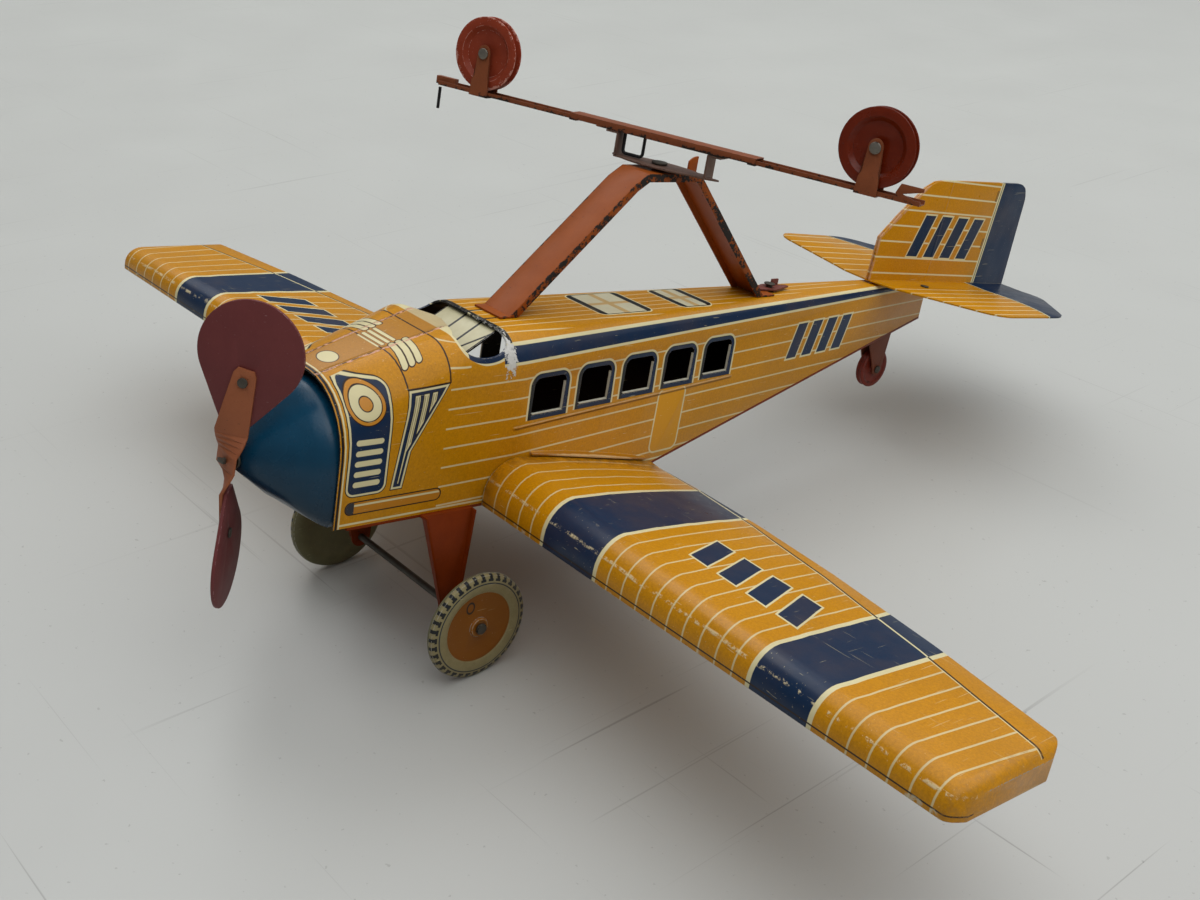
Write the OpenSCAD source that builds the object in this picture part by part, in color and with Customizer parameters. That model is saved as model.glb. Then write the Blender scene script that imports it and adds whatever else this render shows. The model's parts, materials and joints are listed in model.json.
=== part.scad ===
/* [Body] */
// Length of the body from the cowl rim to the stern
body_len = 374.5; // [310:0.5:450]
// Half of the body's width
body_half_w = 30.4; // [25:0.1:37]
// Height of the body from belly to roof
body_h = 68; // [56:1:82]
// Radius of the roof's shoulders where the cabin starts
shoulder_r = 14; // [8:0.5:20]
// Length of the cowl, from its rim to the windscreen
cowl_len = 52; // [44:1:58]
// Height of the cowl's top at its rim
cowl_rim_z = 53; // [51.5:0.5:56]
// Where the sides start to taper, from the rim
taper_y = 80; // [66:1:96]
// Half width at the stern
stern_half_w = 2.7; // [2.2:0.1:3.4]
// Where the belly starts to rise, from the rim
kick_y = 168; // [140:1:200]
// Height of the belly at the stern
stern_z = 47.5; // [40:0.5:57]
// Height of the propeller's axis over the belly
thrust_z = 19.6; // [17:0.1:23]
// Thickness of the tin sheet
sheet_t = 0.8; // [0.6:0.05:1]
// Thickness of the belly pan's sheet with its hem
pan_t = 1.2; // [0.8:0.1:1.4]

/* [Nose] */
// Length of the nose cone in front of the rim
cone_len = 24; // [20:0.5:29]
// Radius of the cone's base
cone_r = 29; // [24:0.1:29.2]
// Radius of the cone's blunt front
cone_tip_r = 4.6; // [4:0.1:5.6]
// Depth of the cone's skirt inside the cowl
skirt_len = 5; // [3:0.5:5.5]
// Radius of the propeller shaft
shaft_r = 1; // [0.8:0.05:1.2]
// Running clearance round shafts and pins, on the radius
run_gap = 0.06; // [0.03:0.01:0.09]

/* [Propeller] */
// Radius of the propeller
prop_r = 61.5; // [52:0.5:66]
// Width of a blade's round end
blade_w = 39; // [32:0.5:44]
// Thickness of a blade
blade_t = 1.3; // [1:0.1:1.6]
// Pitch of the blades
blade_pitch = 42; // [30:1:50]
// How far the blades are swept back
blade_sweep = 6; // [0:0.5:8]
// Lean of the propeller from upright, as it stands
prop_lean = 6; // [0:1:40]
// Length of the hub strap
strap_len = 72; // [62:1:80]
// Width of the hub strap at its middle
strap_w = 12.5; // [10:0.5:14]

/* [Cabin] */
// Height of the windows' frames over the belly
window_z = 32; // [28:0.5:34]
// Height of a window frame
window_h = 20.5; // [17:0.5:21]
// Width of a window frame
window_w = 22.6; // [19:0.1:24]
// Spacing of the windows
window_pitch = 26.6; // [25:0.1:30]
// Front edge of the first window frame
window_y = 84.5; // [82:0.5:92]
// Number of windows on each side
window_count = 5; // [4:1:5]
// Breadth of the printed frame round each window
window_frame = 2.4; // [2:0.1:3]
// Half length of the cockpit's cut
cockpit_r = 11.2; // [9.5:0.1:12.5]
// Depth of the cockpit's cut under the roof
cockpit_deep = 7.5; // [6:0.1:8.5]
// Slope of the windscreen panel
screen_slope = 30; // [25:1:36]

/* [Wings] */
// Half of the wing span
half_span = 269; // [224:1:323]
// Leading edge at the root, from the rim
root_le_y = 67.6; // [60:0.1:76]
// Trailing edge at the root, from the rim
root_te_y = 166; // [150:1:167]
// Leading edge at the tip, from the rim
tip_le_y = 52; // [40:0.5:70]
// Trailing edge at the tip, from the rim
tip_te_y = 105.5; // [95:0.5:115]
// Height of the wing at its root
root_h = 18.6; // [15.5:0.1:20]
// Height of the wing at its tip
tip_h = 11; // [9:0.1:13]
// Rise of the tip over the root
dihedral = 9; // [5:0.5:16]
// Radius of the tip's rounded edge
tip_r = 5; // [4:0.1:6.5]
// Gap between the wing's root and the body's side
root_gap = 0.3; // [0.2:0.05:0.4]

/* [Tail] */
// Half span of the tailplane
tail_half = 74; // [65:1:86]
// Chord of the tailplane at its root
tail_chord = 125; // [114:1:134]
// Height of the fin
fin_h = 57.5; // [50:0.5:68]
// Tilt of the tail, down at the rear
tail_tilt = 4; // [0:0.5:5]
// How far in front of the stern the tail is seated
tail_seat = 34.5; // [30:0.5:42]

/* [Undercarriage] */
// Radius of the main wheels
wheel_r = 22.5; // [19:0.1:27]
// Thickness of a main wheel
wheel_t = 5; // [4.2:0.1:6]
// Distance of a main wheel's middle from the centre line
wheel_x = 51.5; // [46:0.5:60]
// Axle's place behind the rim
axle_y = 56.4; // [50:0.2:64]
// Axle's depth under the belly
axle_drop = 41.5; // [35:0.5:49]
// Radius of the axle
axle_r = 1.5; // [1.2:0.05:1.8]
// Radius of the tail wheel
tail_wheel_r = 10.5; // [9:0.1:12.5]
// Thickness of the tail wheel
tail_wheel_t = 4.4; // [3.6:0.1:5.2]
// Tail wheel's place in front of the stern
tail_wheel_back = 27.5; // [24:0.5:32]
// Tail wheel's depth under the belly line
tail_wheel_drop = 21; // [18.5:0.5:25]

/* [Mast] */
// Width of the mast's strip
mast_w = 17; // [14:0.5:20]
// Height of the mast's top over the roof
mast_h = 58; // [48:1:70]
// Depth of the mast's side flanges
flange_d = 3.4; // [2.8:0.1:4.2]
// Pivot's place behind the rim
pivot_y = 163; // [155:1:171]
// Radius of the pivot rivet
pivot_r = 1.6; // [1.3:0.1:2]

/* [Trolley] */
// Turn of the trolley from crosswise, as it stands
trolley_yaw = 19.5; // [0:0.5:45]
// Half length of the sliding bar
bar_half = 113.5; // [104:0.5:136]
// Width of the sliding bar
bar_w = 7; // [6:0.1:8]
// Height of the sliding bar
bar_h = 3.6; // [3:0.1:4.4]
// Height of the bar over the mast's top plate
bar_rise = 10.4; // [9:0.1:13]
// Half length of the sleeve
sleeve_half = 44; // [38:0.5:52]
// Sliding clearance between bar and sleeve
slide_gap = 0.15; // [0.1:0.05:0.25]
// Distance of each pulley from the pivot
pulley_s = 91.4; // [78:0.2:95]
// Radius of the pulleys
pulley_r = 15.7; // [13.5:0.1:18]
// Half thickness of a pulley at its rim
pulley_half_t = 2.5; // [2:0.1:3]
// Width of the fork straps
fork_w = 9.5; // [8:0.1:11]

/* [Hidden] */
$fn = 48;

// Colours of the lacquered tin
ochre = "#cf9a2c";
orange_red = "#b5552a";
teal_blue = "#1f5c80";
cream = "#d8cfa8";
brown_fibre = "#63343a";
strap_brown = "#a5623c";
pulley_red = "#8a3a22";
steel = "#a9a9a6";
fork_brown = "#5d3628";
rubber_black = "#2a2623";

// Small gap that keeps neighbouring sheets from touching
seat_gap = 0.1;
tail_y = body_len - tail_seat;
tail_wheel_y = body_len - tail_wheel_back;
// Leading edge of the tailplane's root, from the tail's seat
tail_front = -15;
tail_rear = tail_front + tail_chord;

// Bush, bead and strap stand in a row on the propeller shaft
bearing_r = shaft_r + 1.2;
bearing_len = 11;
collar_t = 1;
bead_len = 2.2;
bead_play = 0.2;
strap_t = 1;
hub_flat = 3.2;
lap_gap = 0.05;
bead_front = -cone_len - collar_t - seat_gap - bead_play - bead_len;
prop_y = bead_front - seat_gap - strap_t;

// Half width, top height and shoulder radius of the body at a place y
function half_w(y) = y <= taper_y ? body_half_w
    : body_half_w - (body_half_w - stern_half_w) * (y - taper_y) / (body_len - taper_y);
function top_z(y) = y < cowl_len ? cowl_rim_z + (body_h - cowl_rim_z) * y / cowl_len
    : y < tail_y ? body_h
    : body_h - (y - tail_y) * tan(tail_tilt);
rim_corner = body_half_w - 4;
function corner_r(y) = y < cowl_len ? rim_corner + (shoulder_r - rim_corner) * y / cowl_len
    : shoulder_r * half_w(y) / body_half_w;

// Height of the belly line at a place y
function belly_z(y) = y <= kick_y ? 0 : stern_z * (y - kick_y) / (body_len - kick_y);
belly_slope = atan2(stern_z, body_len - kick_y);

tail_wheel_z = belly_z(tail_wheel_y) - tail_wheel_drop;

// The plane stands on its three wheels, tail down
span_y = tail_wheel_y - axle_y;
span_z = tail_wheel_z + axle_drop;
pitch = atan2(span_z, span_y) - asin((wheel_r - tail_wheel_r) / norm([span_y, span_z]));
stand_z = wheel_r + axle_y * sin(pitch) + axle_drop * cos(pitch);

// Points on a blade's rim and on the fin's outline, to centre the whole plane
function blade_rim(t, turn) =
    let (a = blade_w / 2 * cos(t), r = prop_r - blade_w / 2 * (1 - sin(t)),
        x = a * cos(blade_pitch) - (strap_t + lap_gap) * sin(blade_pitch),
        across = a * sin(blade_pitch) + (strap_t + lap_gap) * cos(blade_pitch),
        y = across * cos(blade_sweep) + (r - hub_flat) * sin(blade_sweep),
        z = r * cos(blade_sweep) - across * sin(blade_sweep))
    [prop_y + y, thrust_z + z * cos(prop_lean + turn) - x * sin(prop_lean + turn)];
fin_front = -15;
fin_outline = [
    [fin_front, 0], [fin_front, fin_h * 0.4], [fin_front + 12, fin_h * 0.62],
    [fin_front + 28, fin_h * 0.87], [fin_front + 35, fin_h * 0.93], [fin_front + 43, fin_h * 0.95],
    [tail_rear - 12, fin_h], [tail_rear - 9, fin_h - 0.8], [tail_rear - 7.6, fin_h - 3.5],
    [tail_rear, 0]];
function fin_point(p) = [
    tail_y + p[0] * cos(tail_tilt) + p[1] * sin(tail_tilt),
    body_h - p[0] * sin(tail_tilt) + p[1] * cos(tail_tilt)];
function stood_y(p) = p[0] * cos(pitch) + p[1] * sin(pitch);
front_y = min([for (t = [0:5:355]) for (turn = [0, 180]) stood_y(blade_rim(t, turn))]);
rear_y = max([for (p = fin_outline) stood_y(fin_point(p))]);
stand_y = -(front_y + rear_y) / 2;

module stance() {
    translate([0, stand_y, stand_z])
        rotate([-pitch, 0, 0])
            children();
}

// Rings of points joined into one closed skin
module loft(rings) {
    n = len(rings[0]);
    m = len(rings);
    polyhedron(
        points = [for (ring = rings) each ring],
        faces = concat(
            [[for (i = [0:n - 1]) i]],
            [[for (i = [n - 1:-1:0]) (m - 1) * n + i]],
            [for (j = [0:m - 2]) for (i = [0:n - 1]) each [
                [j * n + i, (j + 1) * n + i, (j + 1) * n + (i + 1) % n],
                [j * n + i, (j + 1) * n + (i + 1) % n, j * n + (i + 1) % n]]]),
        convexity = 4);
}

// Body section at y, shrunk by an inset, with its foot at height foot
arc_steps = 8;
function body_ring(y, inset, foot) =
    let (w = half_w(y) - inset, t = top_z(y) - inset, r = max(0.6, corner_r(y) - inset))
    concat(
        [[-w, y, foot]],
        [for (i = [0:arc_steps]) let (a = 90 * i / arc_steps)
            [-w + r - r * cos(a), y, t - r + r * sin(a)]],
        [for (i = [arc_steps:-1:0]) let (a = 90 * i / arc_steps)
            [w - r + r * cos(a), y, t - r + r * sin(a)]],
        [[w, y, foot]]);

body_stations = [0, cowl_len / 2, cowl_len, taper_y, kick_y, tail_y, body_len];

module body_solid(inset, stations, foot_drop) {
    loft([for (y = stations) body_ring(y, inset, belly_z(y) - foot_drop)]);
}

// Plan outline of the body, grown by a gap, for what stands beside it
module body_plan(grow) {
    polygon([
        [-body_half_w - grow, -1], [body_half_w + grow, -1], [body_half_w + grow, taper_y],
        [stern_half_w + grow, body_len], [-stern_half_w - grow, body_len],
        [-body_half_w - grow, taper_y]]);
}

// Window openings, round at their upper corners
module window_cut(i) {
    r = 3;
    w = window_w - 2 * window_frame;
    h = window_h - 2 * window_frame;
    translate([0, window_y + window_frame + i * window_pitch, window_z + window_frame + 0.75 * i])
        rotate([90, 0, 90])
            linear_extrude(2 * body_half_w + 4, center = true)
                union() {
                    square([w, h - r]);
                    translate([r, 0]) square([w - 2 * r, h]);
                    for (x = [r, w - r]) translate([x, h - r]) circle(r, $fn = 24);
                }
}

// Cockpit cut: round seen from the side, with a tongue of the cowl left at its front
cockpit_y = cowl_len + cockpit_r - 0.8;
module cockpit_cut() {
    side = body_half_w + 4;
    intersection() {
        rotate([90, 0, 90])
            linear_extrude(2 * side, center = true)
                polygon(concat(
                    [[cockpit_y + cockpit_r, body_h + 4]],
                    [for (a = [0:15:180])
                        [cockpit_y + cockpit_r * cos(a), body_h - cockpit_deep * pow(sin(a), 0.7)]],
                    [[cockpit_y - cockpit_r, body_h + 4]]));
        translate([0, cockpit_y, 0])
            linear_extrude(body_h + 6)
                polygon([
                    [-side, -cockpit_r - 2], [-22, -cockpit_r - 1.5], [-16, -cockpit_r + 2], [-2.6, -cockpit_r + 6.8],
                    [2.6, -cockpit_r + 6.8], [16, -cockpit_r + 2], [22, -cockpit_r - 1.5], [side, -cockpit_r - 2],
                    [side, cockpit_r + 2], [-side, cockpit_r + 2]]);
    }
}

// Upper outline of the wing at its root, seen from the side
nose_share = 0.8;
function span_share(x) = (x - body_half_w) / (half_span - body_half_w);
function wing_le(u) = root_le_y + (tip_le_y - root_le_y) * u;
function wing_te(u) = root_te_y + (tip_te_y - root_te_y) * u;
function wing_hi(u) = root_h + (tip_h - root_h) * u;
function wing_z(u) = -sheet_t + dihedral * u;
wing_te_t = 1.5;
function wing_rear_h(u) = wing_te_t + (wing_hi(u) - wing_te_t) * (1 - pow(1 - max(0, u), 1.6));
function wing_top(u, y) =
    let (crest = wing_le(u) + nose_share * wing_hi(u), f = max(0, (y - crest) / (wing_te(u) - crest)))
    wing_z(u) + wing_rear_h(u) + (wing_hi(u) - wing_rear_h(u)) * (1 - pow(f, 1.25));

// Arch cut in the body's side where the wing's root goes in
module root_arch_cut() {
    front = root_le_y + nose_share * root_h;
    rear = root_te_y - 22;
    rotate([90, 0, 90])
        linear_extrude(2 * body_half_w + 4, center = true)
            polygon(concat(
                [[front, -1]],
                [for (i = [0:4]) let (y = front + (rear - front) * i / 4) [y, wing_top(0, y) - 2.2]],
                [[rear, -1]]));
}

// Lip of the body's sheet, flared out over the wing's root
lip_front = 90;
lip_steps = 6;
module root_lip() {
    rise = 0.5;
    reach = 3.4;
    function lip_ring(i) =
        let (y = lip_front + (root_te_y - 3 - lip_front) * i / lip_steps,
            out = reach * sin(20 + 140 * i / lip_steps),
            z = wing_top(0.02, y) + rise, w = half_w(y))
        [[w - sheet_t / 2, y, z], [w - sheet_t / 2, y, z + 1.6], [w + 0.35 * out, y, z + 1.2],
            [w + out, y, z + 0.7], [w + out, y, z]];
    loft([for (i = [0:lip_steps]) lip_ring(i)]);
}

module fuselage_shell() {
    color(ochre) stance() {
        difference() {
            body_solid(0, body_stations, 0);
            body_solid(sheet_t, concat([-1], [for (i = [1:5]) body_stations[i]], [body_len - 2]), 1);
            for (i = [0:window_count - 1]) window_cut(i);
            cockpit_cut();
            root_arch_cut();
        }
        root_lip();
        mirror([1, 0, 0]) root_lip();
    }
}

// Leg outline: wide at the belly, narrow at the axle
leg_top_front = -18;
leg_top_rear = 5.5;
leg_end_r = 4.5;
leg_x = body_half_w + 1.6;
flange_w = 3.2;

module leg() {
    foot = -axle_drop;
    translate([leg_x, axle_y, 0]) {
        rotate([90, 0, 90])
            linear_extrude(sheet_t)
                difference() {
                    union() {
                        polygon([[leg_top_front, 0], [leg_top_rear, 0], [leg_end_r, foot], [-leg_end_r, foot]]);
                        translate([0, foot]) circle(leg_end_r);
                    }
                    translate([0, foot]) circle(axle_r + run_gap);
                }
        hull() {
            translate([0, leg_top_front, -1]) cube([flange_w, sheet_t, 1]);
            translate([0, -leg_end_r, foot]) cube([flange_w * 0.6, sheet_t, 1]);
        }
        hull() {
            translate([0, leg_top_rear - sheet_t, -1]) cube([flange_w, sheet_t, 1]);
            translate([0, leg_end_r - sheet_t, foot]) cube([flange_w * 0.6, sheet_t, 1]);
        }
    }
}

pan_front = 6;
module belly_pan() {
    rear_len = (body_len - kick_y) / cos(belly_slope);
    color(orange_red) stance() {
        translate([0, 0, -pan_t])
            linear_extrude(pan_t)
                polygon([
                    [-body_half_w, pan_front], [body_half_w, pan_front], [body_half_w, taper_y],
                    [half_w(kick_y), kick_y], [-half_w(kick_y), kick_y], [-body_half_w, taper_y]]);
        translate([0, kick_y, 0])
            rotate([belly_slope, 0, 0])
                translate([0, 0, -pan_t])
                    linear_extrude(pan_t)
                        polygon([
                            [-half_w(kick_y), -0.2], [half_w(kick_y), -0.2],
                            [stern_half_w, rear_len], [-stern_half_w, rear_len]]);
        for (side = [0, 1]) mirror([side, 0, 0]) {
            translate([body_half_w - 4, axle_y + leg_top_front, -pan_t])
                cube([leg_x - body_half_w + 4 + sheet_t, leg_top_rear - leg_top_front, pan_t]);
            leg();
        }
    }
}

// Cream panel that slopes down from the roof's front edge
screen_top_y = cockpit_y + cockpit_r;
screen_half_w = body_half_w - shoulder_r;
module windscreen_panel() {
    len = 15;
    color(cream) stance()
        intersection() {
            translate([0, screen_top_y + 2, body_h - sheet_t - seat_gap])
                rotate([screen_slope, 0, 0])
                    translate([-screen_half_w, -len - 2, -sheet_t])
                        cube([2 * screen_half_w, len + 2, sheet_t]);
            body_solid(sheet_t + seat_gap, [cowl_len, taper_y], 0);
        }
}

// Base outline of the nose cone: round over the axis, square below it
cone_points = 48;
corner_power = 12;
cone_foot = thrust_z + pan_t;
function cone_reach(a, r) = sin(a) >= 0 ? r
    : pow(pow(abs(cos(a)) / r, corner_power) + pow(abs(sin(a)) / (cone_foot * r / cone_r), corner_power),
        -1 / corner_power);
function cone_ring(y, r, blend) = [for (i = [0:cone_points - 1])
    let (a = 180 - 360 * i / cone_points, k = cone_reach(a, r) * (1 - blend) + r * blend)
    [k * cos(a), y, thrust_z + k * sin(a)]];

module cone_solid(inset, front, rear) {
    loft([
        cone_ring(-cone_len - front, cone_tip_r - inset, 1),
        for (bulge = [[0.5, 0.55], [0.76, 0.83], [0.91, 0.955]])
            cone_ring(-cone_len * (1 - bulge[0]),
                cone_tip_r + (cone_r - cone_tip_r) * bulge[1] - inset, 1 - bulge[1]),
        cone_ring(0, cone_r - inset, 0),
        cone_ring(skirt_len + rear, cone_r - inset, 0)]);
}

module nose_cone() {
    color(teal_blue) stance()
        difference() {
            cone_solid(0, 0, 0);
            cone_solid(sheet_t * 1.2, -1.4, 1);
            translate([0, -cone_len - 1, thrust_z])
                rotate([-90, 0, 0])
                    cylinder(h = 4, r = bearing_r + run_gap);
        }
}

// Bearing bush in the cone's front
module nose_bearing() {
    color(steel) stance()
        translate([0, -cone_len, thrust_z])
            rotate([-90, 0, 0])
                difference() {
                    union() {
                        cylinder(h = bearing_len, r = bearing_r);
                        translate([0, 0, -collar_t - seat_gap]) cylinder(h = collar_t, r = bearing_r + 1.2);
                        translate([0, 0, -seat_gap]) cylinder(h = 1, r = bearing_r);
                    }
                    translate([0, 0, -3]) cylinder(h = bearing_len + 6, r = shaft_r + run_gap);
                }
}

// Wing section at span share u and place x; the tip rolls over its rounded edge
nose_steps = 7;
function wing_ring(x, u, v, inset, drop) =
    let (roll = 1 - sqrt(max(0, 1 - v * v)), clip = 7 * v * v,
        le = wing_le(u) + inset + clip, te = wing_te(u) - 1.5 * inset - clip,
        zb = wing_z(u), hi = wing_hi(u) * (1 - 0.42 * roll) - inset,
        rear_h = min(hi, wing_rear_h(u) * (1 - 0.42 * roll) - inset),
        crest = le + nose_share * (wing_hi(u) - inset), low = hi * 0.25)
    concat(
        [[x, le, zb - drop], [x, te, zb - drop], [x, te, zb + rear_h]],
        [for (f = [0.75, 0.5, 0.25]) let (y = crest + (te - crest) * f)
            [x, y, zb + rear_h + (hi - rear_h) * (1 - pow(f, 1.25))]],
        [for (i = [0:nose_steps]) let (a = 90 - 90 * i / nose_steps)
            [x, crest - (crest - le) * cos(a), zb + low + (hi - low) * sin(a)]]);

// Rings from inside the body to the tip, grown or shrunk together
roll_steps = 5;
root_x = stern_half_w + 12;
function wing_rings(inset, drop) =
    let (end = half_span - inset, start = end - tip_r)
    concat(
        [wing_ring(root_x, span_share(root_x), 0, inset, drop)],
        [for (u = [0, 0.05, 0.15, 0.32, 0.52, 0.75])
            wing_ring(body_half_w + (half_span - body_half_w) * u, u, 0, inset, drop)],
        [for (i = [0:roll_steps]) let (v = i / roll_steps * 0.94)
            wing_ring(start + tip_r * v / 0.94, span_share(start + tip_r * v), v, inset, drop)]);

module beside_body(gap) {
    difference() {
        children();
        translate([0, 0, -20]) linear_extrude(60) body_plan(gap);
    }
}

module wing_upper() {
    beside_body(root_gap)
        difference() {
            loft(wing_rings(0, 0));
            loft(wing_rings(sheet_t, 1));
        }
}

// Flat lower sheet inside the skin's rim, with a tab under the belly pan
module wing_lower() {
    inset = sheet_t + seat_gap;
    tab_y = 92;
    tab_w = 40;
    function plate_ring(x, v) =
        let (u = span_share(x), clip = 7 * v * v, z = wing_z(u),
            le = wing_le(u) + inset + clip, te = wing_te(u) - 2 - clip)
        [[x, le, z], [x, te, z], [x, te, z + sheet_t], [x, le, z + sheet_t]];
    beside_body(root_gap)
        loft([plate_ring(root_x, 0), plate_ring(half_span - tip_r - inset, 0),
            plate_ring(half_span - inset, 1)]);
    translate([body_half_w - 9, tab_y, -pan_t - seat_gap - sheet_t])
        cube([12, tab_w, sheet_t]);
    translate([body_half_w + root_gap, tab_y, -pan_t - seat_gap - sheet_t])
        cube([2.7, tab_w, pan_t + seat_gap + sheet_t - 0.6]);
}

module wing_left_upper() {
    color(ochre) stance() wing_upper();
}
module wing_left_lower() {
    color(ochre) stance() wing_lower();
}
module wing_right_upper() {
    color(ochre) stance() mirror([1, 0, 0]) wing_upper();
}
module wing_right_lower() {
    color(ochre) stance() mirror([1, 0, 0]) wing_lower();
}

// The tail lies on the roof's tilted end
module tail_place() {
    translate([0, tail_y, body_h + seat_gap])
        rotate([-tail_tilt, 0, 0])
            children();
}

// One sheet makes half of the tailplane and one side of the fin
fin_slit = 0.25;
rivet_r = 1.2;
rivet_x = 12;
rivet_y = tail_front + 34;
function arc(x, y, r, from, to) =
    [for (i = [0:4]) let (a = from + (to - from) * i / 4) [x + r * cos(a), y + r * sin(a)]];
// The sheet is flat on the roof and bends up a little beyond the fold
module tail_half_sheet() {
    front_r = 12;
    rear_r = 6;
    fold_x = 16;
    rise = (tail_half + 2 - fold_x) * tan(4);
    plan = concat(
        [[fin_slit, tail_front]],
        arc(tail_half - front_r, tail_front + 9 + front_r, front_r, -80, 0),
        arc(tail_half - rear_r, tail_rear - 52 - rear_r, rear_r, 0, 50),
        [[30, tail_rear - 5], [fold_x, tail_rear - 1.6], [fin_slit, tail_rear]]);
    difference() {
        union() {
            intersection() {
                translate([0, tail_rear + 1, 0])
                    rotate([90, 0, 0])
                        linear_extrude(tail_chord + 2)
                            polygon([
                                [0, 0], [fold_x, 0], [tail_half + 2, rise], [tail_half + 2, rise + sheet_t],
                                [fold_x, sheet_t], [0, sheet_t]]);
                translate([0, 0, -2]) linear_extrude(20) polygon(plan);
            }
            translate([fin_slit, 0, 0])
                rotate([90, 0, 90])
                    linear_extrude(sheet_t)
                        polygon(fin_outline);
        }
        translate([rivet_x, rivet_y, -1]) cylinder(h = 4, r = rivet_r + run_gap);
    }
}

module tail_left() {
    color(ochre) stance() tail_place() tail_half_sheet();
}
module tail_right() {
    color(ochre) stance() tail_place() mirror([1, 0, 0]) tail_half_sheet();
}

module rivet(shank, r, head_r, head_t) {
    translate([0, 0, -head_t]) cylinder(h = head_t, r = head_r);
    cylinder(h = shank, r = r);
    translate([0, 0, shank]) cylinder(h = head_t, r = head_r);
}

module tail_rivets() {
    color(steel) stance() tail_place()
        for (x = [-rivet_x, rivet_x])
            translate([x, rivet_y, -0.05])
                rivet(sheet_t + 0.1, rivet_r, rivet_r + 1, 0.7);
}

// Stud at the rear that the rubber is looped on
anchor_y = kick_y + 58;
stud_r = 1;
module rubber_anchor() {
    plate_foot = belly_z(anchor_y + 5) + seat_gap;
    color(steel) stance() {
        difference() {
            translate([-6, anchor_y + 4, plate_foot]) cube([12, 1.2, thrust_z + 5 - plate_foot]);
            translate([0, anchor_y + 3, thrust_z]) rotate([-90, 0, 0]) cylinder(h = 3, r = 0.4);
        }
        translate([0, anchor_y - 4, thrust_z]) rotate([-90, 0, 0]) cylinder(h = 9, r = stud_r);
        translate([0, anchor_y - 5, thrust_z]) rotate([-90, 0, 0]) cylinder(h = 1, r = 2.4);
        translate([0, anchor_y + 5, belly_z(anchor_y + 5) + seat_gap])
            rotate([belly_slope, 0, 0])
                translate([-6, 0, 0]) cube([12, 8, 1]);
    }
}

// Main axle with peened ends and stops inside the wheels
axle_play = 0.3;
module main_axle() {
    out = wheel_x + wheel_t / 2 + axle_play;
    in = wheel_x - wheel_t / 2 - axle_play;
    color(steel) stance()
        translate([0, axle_y, -axle_drop])
            rotate([0, 90, 0]) {
                cylinder(h = 2 * out + 2, r = axle_r, center = true);
                for (side = [-1, 1]) {
                    translate([0, 0, side * (out + 0.6)]) cylinder(h = 1.2, r = axle_r + 0.8, center = true);
                    translate([0, 0, side * (in - 0.5)]) cylinder(h = 1, r = axle_r + 0.9, center = true);
                }
            }
}

// Pressed half of a wheel, dished, with a raised tyre and a boss
module wheel_half() {
    t = sheet_t * 0.8;
    half = wheel_t / 2;
    bore = axle_r + run_gap;
    tyre_in = wheel_r * 0.72;
    outer = [
        [bore, half], [bore + 2.2, half], [bore + 2.6, half - 1], [wheel_r * 0.64, half - 1],
        [tyre_in, half - 0.2], [wheel_r * 0.84, half], [wheel_r * 0.93, half - 0.35],
        [wheel_r * 0.985, half - 1.1], [wheel_r, half - 1.9], [wheel_r, 0.05]];
    inner = [
        [wheel_r - t, 0.05], [wheel_r - t, half - 1.9], [wheel_r * 0.93, half - 0.35 - t],
        [wheel_r * 0.84, half - t], [tyre_in, half - 0.2 - t], [wheel_r * 0.64, half - 1 - t],
        [bore + 2.2, half - 1 - t], [bore + 2.2, half - t], [bore, half - t]];
    rotate_extrude() polygon(concat(outer, inner));
}

module wheel_place(side) {
    translate([side * wheel_x, axle_y, -axle_drop])
        rotate([0, 90, 0])
            children();
}
module wheel_left_outer() {
    color(cream) stance() wheel_place(1) wheel_half();
}
module wheel_left_inner() {
    color(cream) stance() wheel_place(1) mirror([0, 0, 1]) wheel_half();
}
module wheel_right_outer() {
    color(cream) stance() wheel_place(-1) mirror([0, 0, 1]) wheel_half();
}
module wheel_right_inner() {
    color(cream) stance() wheel_place(-1) wheel_half();
}

// Tail fork: a bridge under the belly and two tapering arms
fork_gap = 0.6;
tail_pin_r = 1.1;
module tail_wheel_fork() {
    inner = tail_wheel_t / 2 + fork_gap;
    front = -12;
    rear = 5;
    function line_z(dy) = belly_z(tail_wheel_y + dy) - pan_t - seat_gap;
    color(fork_brown) stance() {
        for (side = [0, 1]) mirror([side, 0, 0])
            translate([inner, tail_wheel_y, 0])
                rotate([90, 0, 90])
                    linear_extrude(sheet_t)
                        difference() {
                            union() {
                                polygon([
                                    [front, line_z(front)], [rear, line_z(rear)],
                                    [3.4, tail_wheel_z], [-3.4, tail_wheel_z]]);
                                translate([0, tail_wheel_z]) circle(3.4);
                            }
                            translate([0, tail_wheel_z]) circle(tail_pin_r + 0.02);
                        }
        translate([-inner - sheet_t, tail_wheel_y, 0])
            rotate([90, 0, 90])
                linear_extrude(2 * (inner + sheet_t))
                    polygon([
                        [front, line_z(front) - sheet_t], [front, line_z(front)],
                        [rear, line_z(rear)], [rear, line_z(rear) - sheet_t]]);
    }
}

module tail_wheel_rivet() {
    half = tail_wheel_t / 2 + fork_gap + sheet_t + 0.05;
    color(steel) stance()
        translate([-half, tail_wheel_y, tail_wheel_z])
            rotate([0, 90, 0])
                rivet(2 * half, tail_pin_r, tail_pin_r + 0.9, 0.8);
}

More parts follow.
